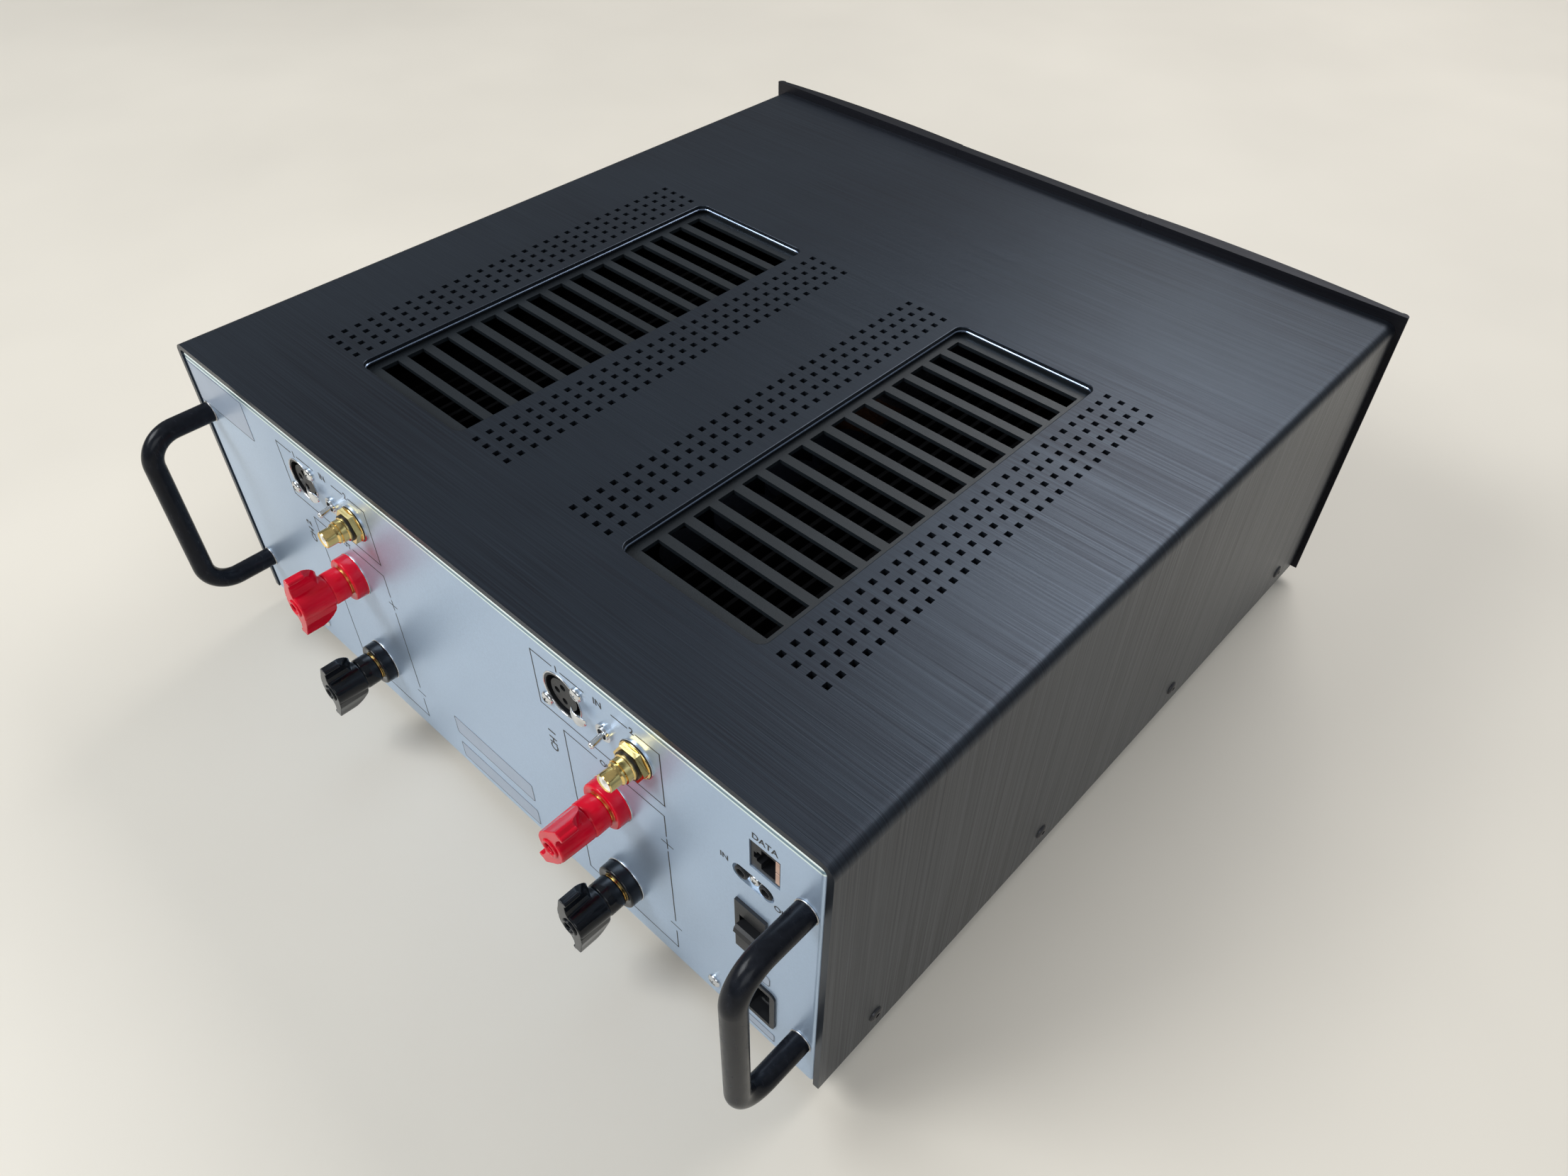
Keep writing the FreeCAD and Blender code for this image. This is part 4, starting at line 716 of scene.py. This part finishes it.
def wing(shape, side):
    """One wing of a cap: flush with the barrel on one side, hollow on the other, tip beaded."""
    rings = []
    for height, flush, hollow, flush_back, hollow_back in WING_STATIONS:
        corners = [(flush, WING_START + flush_back), (hollow, WING_START + hollow_back),
                   (hollow, KNOB_FACE), (flush, KNOB_FACE)]
        rings.append([shape.verts.new((-side * x * MM, y * MM, side * height * MM))
                      for x, y in corners])
    shape.faces.new(rings[0][::-1])
    shape.faces.new(rings[-1])
    bridge(shape, rings)
    bead = [(0.01, BEAD_START), (BEAD_RADIUS, BEAD_START), (BEAD_RADIUS, KNOB_FACE),
            (0.01, KNOB_FACE)]
    spot = Matrix.Translation((side * BEAD_ACROSS * MM, 0, side * BEAD_HEIGHT * MM))
    lathe(bead, 20, shape, spot)


def knob_cap_mesh():
    """The winged cap of a post, blended into one skin; wings along Z, the post along Y."""
    end = KNOB_FACE - END_WALL
    body = [(KNOB_BORE, KNOB_NECK), (8.0, KNOB_NECK), (8.15, KNOB_NECK + 0.4),
            (7.75, KNOB_FACE - 0.6), (7.3, KNOB_FACE), (MOUTH_RADIUS, KNOB_FACE),
            (MOUTH_RADIUS, end), (KNOB_BORE, end)]
    shape = lathe(body, 72)
    for side in (1, -1):
        wing(shape, side)
    holder = work_piece(finished(shape, "knob_cap"))
    skin = holder.modifiers.new("skin", "REMESH")
    skin.mode = "VOXEL"
    skin.voxel_size = 0.24 * MM
    blend = holder.modifiers.new("blend", "SMOOTH")
    blend.factor = 0.5
    blend.iterations = 7
    holder.modifiers.new("thin", "DECIMATE").ratio = 0.3
    return baked(holder)


def make_knobs():
    """Winged caps with their turned sleeves and raised mouths, one on each post."""
    cap = knob_cap_mesh()
    for name, turn in KNOB_TURNS.items():
        node = "post_knob_" + name
        slot = "gloss_" + name.split("_")[0]
        washer = "post_washer_" + name
        spot = (panel_spot(middle(washer).x, middle(washer).z)
                @ Matrix.Rotation(math.radians(turn), 4, "Y"))
        mesh = cap.copy()
        mesh.transform(spot)
        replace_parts(add_piece("knob_cap_" + name, mesh, node, slot), node)
        seat = (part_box(washer)[0].y - PANEL_Y) / MM + 0.45
        sleeve = [(7.3, seat), (7.75, seat), (8.2, seat + 0.3), (8.3, seat + 0.7), (8.35, 14.9),
                  (8.1, 15.3), (7.8, 15.45), (7.8, 15.9), (4.1, 15.9), (4.1, seat + 0.9),
                  (7.3, seat + 0.9)]
        add_piece("knob_sleeve_" + name, lathe(sleeve, 96, spot=spot), node, slot)
        mouth = [(MOUTH_RADIUS, -1), (4.7, -0.3), (4.7, 0.35), (4.45, 0.65), (3.7, 0.75),
                 (3.1, 0.6), (MOUTH_RADIUS, 0.2)]
        mouth = [(r, KNOB_FACE + rise) for r, rise in mouth]
        add_piece("knob_mouth_" + name, lathe(mouth, 64, spot=spot), node, slot)


def make_collars():
    """Turned collars with a rounded shoulder and a fine parting line, each on a thin bright chrome
    ring that serves as a painted highlight along the collar's foot.
    """
    wide, front, seat, depth, bore, shoulder = 11.5, 11.3, 8.1, 6.5, 4.3, 0.9
    profile = [(bore, 0.0), (wide, 0.0), (wide, 0.8), (wide - 0.2, 1.0), (wide - 0.1, 1.2)]
    profile += arc((front - shoulder, depth - shoulder), shoulder, 0, 90)
    profile += [(seat + 0.3, depth), (seat, depth - 0.15), (bore, depth - 0.15)]
    # A thin bright chrome ring at each collar's foot, as a painted highlight on the collar's flange
    # edge.
    ring = [(11.2, 0.02), (11.8, 0.02), (11.8, 0.2), (11.65, 0.35), (11.2, 0.35)]
    for colour in ("red", "black"):
        for channel in CHANNELS:
            spot = panel_spot(channel["x"], channel[colour].z)
            name = "%s_%d" % (colour, channel["number"])
            piece = add_piece("collar_" + name, lathe(profile, 96, spot=spot), "case",
                              "gloss_" + colour)
            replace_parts(piece, "post_collars_" + colour)
            add_piece("collar_highlight_ring_" + name, lathe(ring, 96, spot=spot), "case",
                      "screw_chrome")


# ---- Inputs ----

# Rings at a phono input: material slot, offset across and up, and profile out from the panel.
PHONO_RINGS = {
    "phono_flange_%d": ("gold", (0, 0), [(6, 0.9), (8.5, 0.9), (8.75, 1.1), (8.75, 1.3),
                                         (8.4, 1.6), (6, 1.6)]),
    "phono_gasket_%d": ("black_plastic", (0, 0), [(6, 0.62), (8.95, 0.62), (9.0, 0.75),
                                                  (8.9, 0.92), (6, 0.92)]),
    "shoulder_washer_%d": ("gloss_red", (-0.35, -0.55), [(7, 0.1), (8.6, 0.1), (8.75, 0.3),
                                                         (8.6, 0.7), (8.2, 0.85), (7, 0.85)]),
}


def trim_phono_inputs():
    """Round gold flanges, gaskets, bright washers and red shoulder washers at the phono nuts."""
    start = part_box("rca_nuts")[1].y
    paint_faces("rca_insulators", MATERIALS["black_plastic"],
                lambda c: start - 0.1 * MM < c.y < start + 1.3 * MM)
    paint_faces("rca_insulators", MATERIALS["screw_chrome"],
                lambda c: PANEL_Y - 0.1 * MM < c.y < PANEL_Y + 0.9 * MM)
    for channel in CHANNELS:
        centre = channel["phono"]
        for pattern, (slot, (across, up), profile) in PHONO_RINGS.items():
            spot = panel_spot(centre.x + across * MM, centre.z + up * MM)
            add_piece(pattern % channel["number"], lathe(profile, 72, spot=spot), "case", slot)


def thumb_tab(low, high, height):
    """A curved sheet narrowing to a round tip, between two X and about a height."""
    rows, columns, reach = 14, 8, high.x - low.x
    taper_start = 0.5
    tab = bmesh.new()
    grid = []
    for row in range(rows + 1):
        along = row / rows
        half = (high.z - low.z) / 2
        if along > taper_start:
            half *= math.sqrt(max(0.05, 1 - ((along - taper_start) / (1 - taper_start)) ** 2.4))
        rise = (1.4 + 2.3 * math.sin(math.pi * (0.12 + 0.78 * along))) * MM
        line = []
        for column in range(columns + 1):
            across = 2 * column / columns - 1
            crown = 0.5 * MM * (1 - across ** 2)
            line.append(tab.verts.new((high.x - along * reach, PANEL_Y + rise + crown,
                                       height + across * half)))
        grid.append(line)
    for first, second in zip(grid, grid[1:]):
        for column in range(columns):
            tab.faces.new((first[column], first[column + 1], second[column + 1],
                           second[column]))
    return tab


def trim_balanced_inputs():
    """A bright rolled rim round each balanced socket, and its sprung thumb tab."""
    rim = [(11.0, -1.5), (11.0, 0.12), (11.15, 0.3), (11.4, 0.34), (11.65, 0.2), (11.7, 0.02),
           (11.3, 0.02), (11.3, -1.5)]
    for channel in CHANNELS:
        number, centre = channel["number"], channel["xlr"]
        add_piece("socket_rim_%d" % number, lathe(rim, 96, spot=panel_spot(centre.x, centre.z)),
                  "case", "screw_chrome")
        latch = "xlr_latch_%d" % number
        low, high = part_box(latch)
        piece = add_piece("thumb_tab_%d" % number, thumb_tab(low, high, centre.z), latch,
                          "screw_chrome")
        sheet = piece.modifiers.new("sheet", "SOLIDIFY")
        sheet.thickness = 0.7 * MM
        sheet.offset = 0
        piece.modifiers.new("round", "SUBSURF").levels = 1
        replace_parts(piece, latch)


# ---- Screws ----

def screw_mesh(radius, height):
    """A pan head with a cross recess, its seat at the origin and its crown along Y."""
    rim, core = height * 0.3, 0.02
    profile = [(core, 0.0), (radius * 0.96, 0.0), (radius, 0.08), (radius, rim)]
    profile += [(radius * math.cos(a), rim + height * 0.66 * math.sin(a))
                for a in (math.radians(12 * step) for step in range(1, 7))]
    profile += [(radius * 0.05, height), (core, height)]
    head = work_piece(finished(lathe(profile, 48), "screw_head"))

    arm, half = radius * 0.56 * MM, radius * 0.13 * MM
    floor, top, narrowing = height * 0.35 * MM, height * 1.5 * MM, 0.8
    corners = [(half, half), (half, arm), (-half, arm), (-half, half), (-arm, half),
               (-arm, -half), (-half, -half), (-half, -arm), (half, -arm), (half, -half),
               (arm, -half), (arm, half)]
    cross = bmesh.new()
    low = [cross.verts.new((x * narrowing, floor, z * narrowing)) for x, z in corners]
    high = [cross.verts.new((x, top, z)) for x, z in corners]
    extruded(cross, low, high)
    tool = work_piece(finished(cross, "screw_cross"))
    recess = head.modifiers.new("recess", "BOOLEAN")
    recess.object = tool
    recess.solver = "EXACT"
    mesh = baked(head)
    bpy.data.objects.remove(tool)
    return mesh


def make_panel_screws():
    """Bright cross-head screws at the balanced sockets, the trigger plate and the panel."""
    trigger = middle("trigger_jacks")
    # X, height, then in millimetres how far out, the head's radius and its height; then its turn.
    places = [(trigger.x, trigger.z, -1.5, 2.4, 1.4, 30)]
    for channel in CHANNELS:
        centre = channel["xlr"]
        for side in (1, -1):
            places.append((centre.x - side * 10.4 * MM, centre.z + side * 9.5 * MM, 0.0, 3.2,
                           2.1, 20 + 35 * side))
    chassis_radius = 3.4
    chassis_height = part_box("rear_panel_screws")[0].z + chassis_radius * MM
    for side in (1, -1):
        places.append((side * 156 * MM, chassis_height, 0.0, chassis_radius, 1.9, 15 * side))
    for index, (x, z, out, radius, height, turn) in enumerate(places, start=1):
        mesh = screw_mesh(radius, height)
        mesh.transform(panel_spot(x, z, out * MM)
                       @ Matrix.Rotation(math.radians(turn), 4, "Y"))
        piece = add_piece("panel_screw_%d" % index, mesh, "case", "screw_chrome", smooth=False)
        piece.data.set_sharp_from_angle(angle=math.radians(32))
        piece.data.shade_smooth()
        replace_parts(piece, "rear_panel_screws")


# ---- Network socket, trigger jacks, handles and vents ----

def trim_network_jack():
    """Sprung shield tabs on one side and eight contact springs inside the socket."""
    low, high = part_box("network_jack")
    centre = (low + high) / 2
    shield = 0.3 * MM
    paint_faces("network_jack", MATERIALS["black_plastic"],
                lambda c: c.y > low.y + 0.5 * MM
                and abs(c.x - centre.x) < centre.x - low.x - shield
                and abs(c.z - centre.z) < centre.z - low.z - shield)
    tabs = bmesh.new()
    for bottom, top in ((low.z + 1.6 * MM, centre.z - 0.3 * MM),
                        (centre.z + 0.3 * MM, high.z - 1.6 * MM)):
        box_between(tabs, [(x, y, z) for x in (low.x + 0.5 * MM, low.x + 2.5 * MM)
                           for y in (high.y - 0.02 * MM, high.y + 0.25 * MM)
                           for z in (bottom, top)])
    piece = add_piece("network_shield_tabs", tabs, "case", "shield_metal", "copper_tab",
                      smooth=False)
    rounding = piece.modifiers.new("eased_edges", "BEVEL")
    rounding.width = 0.12 * MM
    rounding.segments = 2
    rounding.limit_method = "ANGLE"

    springs = bmesh.new()
    across, up = Vector((0.30, 0.16, 0)) * MM, Vector((0, 0, 0.28)) * MM
    count, pitch = 8, 1.02 * MM
    for index in range(count):
        z = centre.z + (index - (count - 1) / 2) * pitch
        ends = [Vector((low.x + 2.9 * MM, high.y - 1.6 * MM, z)),
                Vector((centre.x + 1.2 * MM, high.y - 9.0 * MM, z))]
        box_between(springs, [end + a + u for end in ends for a in (-across, across)
                              for u in (-up, up)])
    add_piece("network_contacts", springs, "case", "screw_chrome", smooth=False)


def make_handle_rings():
    """Thin bright washers under the four ends of the handles."""
    profile = [(4.6, 0.02), (5.55, 0.02), (5.65, 0.2), (5.65, 0.5), (5.5, 0.62), (4.6, 0.62)]
    low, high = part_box("rear_handle_left")
    across, reach = (low.x + high.x) / 2, (high.x - low.x) / 2
    rings = bmesh.new()
    for side in (1, -1):
        for height in (low.z + reach, high.z - reach):
            lathe(profile, 72, rings, panel_spot(side * across, height))
    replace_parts(add_piece("handle_rings", rings, "case", "shield_metal"), "handle_washers")


def make_vent_lips():
    """A fine bright metallic strip round the inside of each vent opening in the cover: a painted
    highlight where the opening's edge catches the light.
    """
    hidden_margin, clearance, lip_width = 6 * MM, 0.04 * MM, 0.7 * MM
    for label in ("left", "right"):
        low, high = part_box("vent_grille_" + label)
        centre = (low + high) / 2
        width, length = high.x - low.x - 2 * hidden_margin, high.y - low.y - 2 * hidden_margin
        outer = rounded_rectangle(width - clearance, length - clearance, 5 * MM)
        inner = rounded_rectangle(width - lip_width, length - lip_width, 4.7 * MM)
        rows = [(inner, 0.05), (outer, 0.05), (outer, 0.95), (inner, 0.6)]
        lip = bmesh.new()
        bridge(lip, [[lip.verts.new((centre.x + x, centre.y + y, high.z + rise * MM))
                      for x, y in outline] for outline, rise in rows], closed=True)
        add_piece("vent_highlight_lip_" + label, lip, "case", "blue_black_cover", "painted_edge_highlight",
                  smooth=False)


def trim_trigger_jacks():
    """The bright plate that the two jacks sit in, and a rolled lip round each bore."""
    centre = middle("trigger_jacks")
    outline = rounded_rectangle(20.6 * MM, 8.8 * MM, 4.3 * MM, 10)
    plate = prism(outline, 0.5 * MM, (centre.x, PANEL_Y - 1.9 * MM, centre.z))
    add_piece("trigger_plate", plate, "case", "screw_chrome", smooth=False)
    profile = [(1.85, -0.6), (1.85, 0.1), (2.1, 0.3), (2.6, 0.3), (2.9, 0.1), (2.9, -0.6)]
    lips = bmesh.new()
    for side in (1, -1):
        lathe(profile, 48, lips, panel_spot(centre.x + side * 6.1 * MM, centre.z))
    add_piece("trigger_lips", lips, "case", "black_plastic")


make_camera()
make_studio()
dress_nodes()
ease_edges()
make_legends()
make_labels()
make_knobs()
make_collars()
trim_phono_inputs()
trim_balanced_inputs()
make_panel_screws()
trim_network_jack()
make_handle_rings()
make_vent_lips()
trim_trigger_jacks()
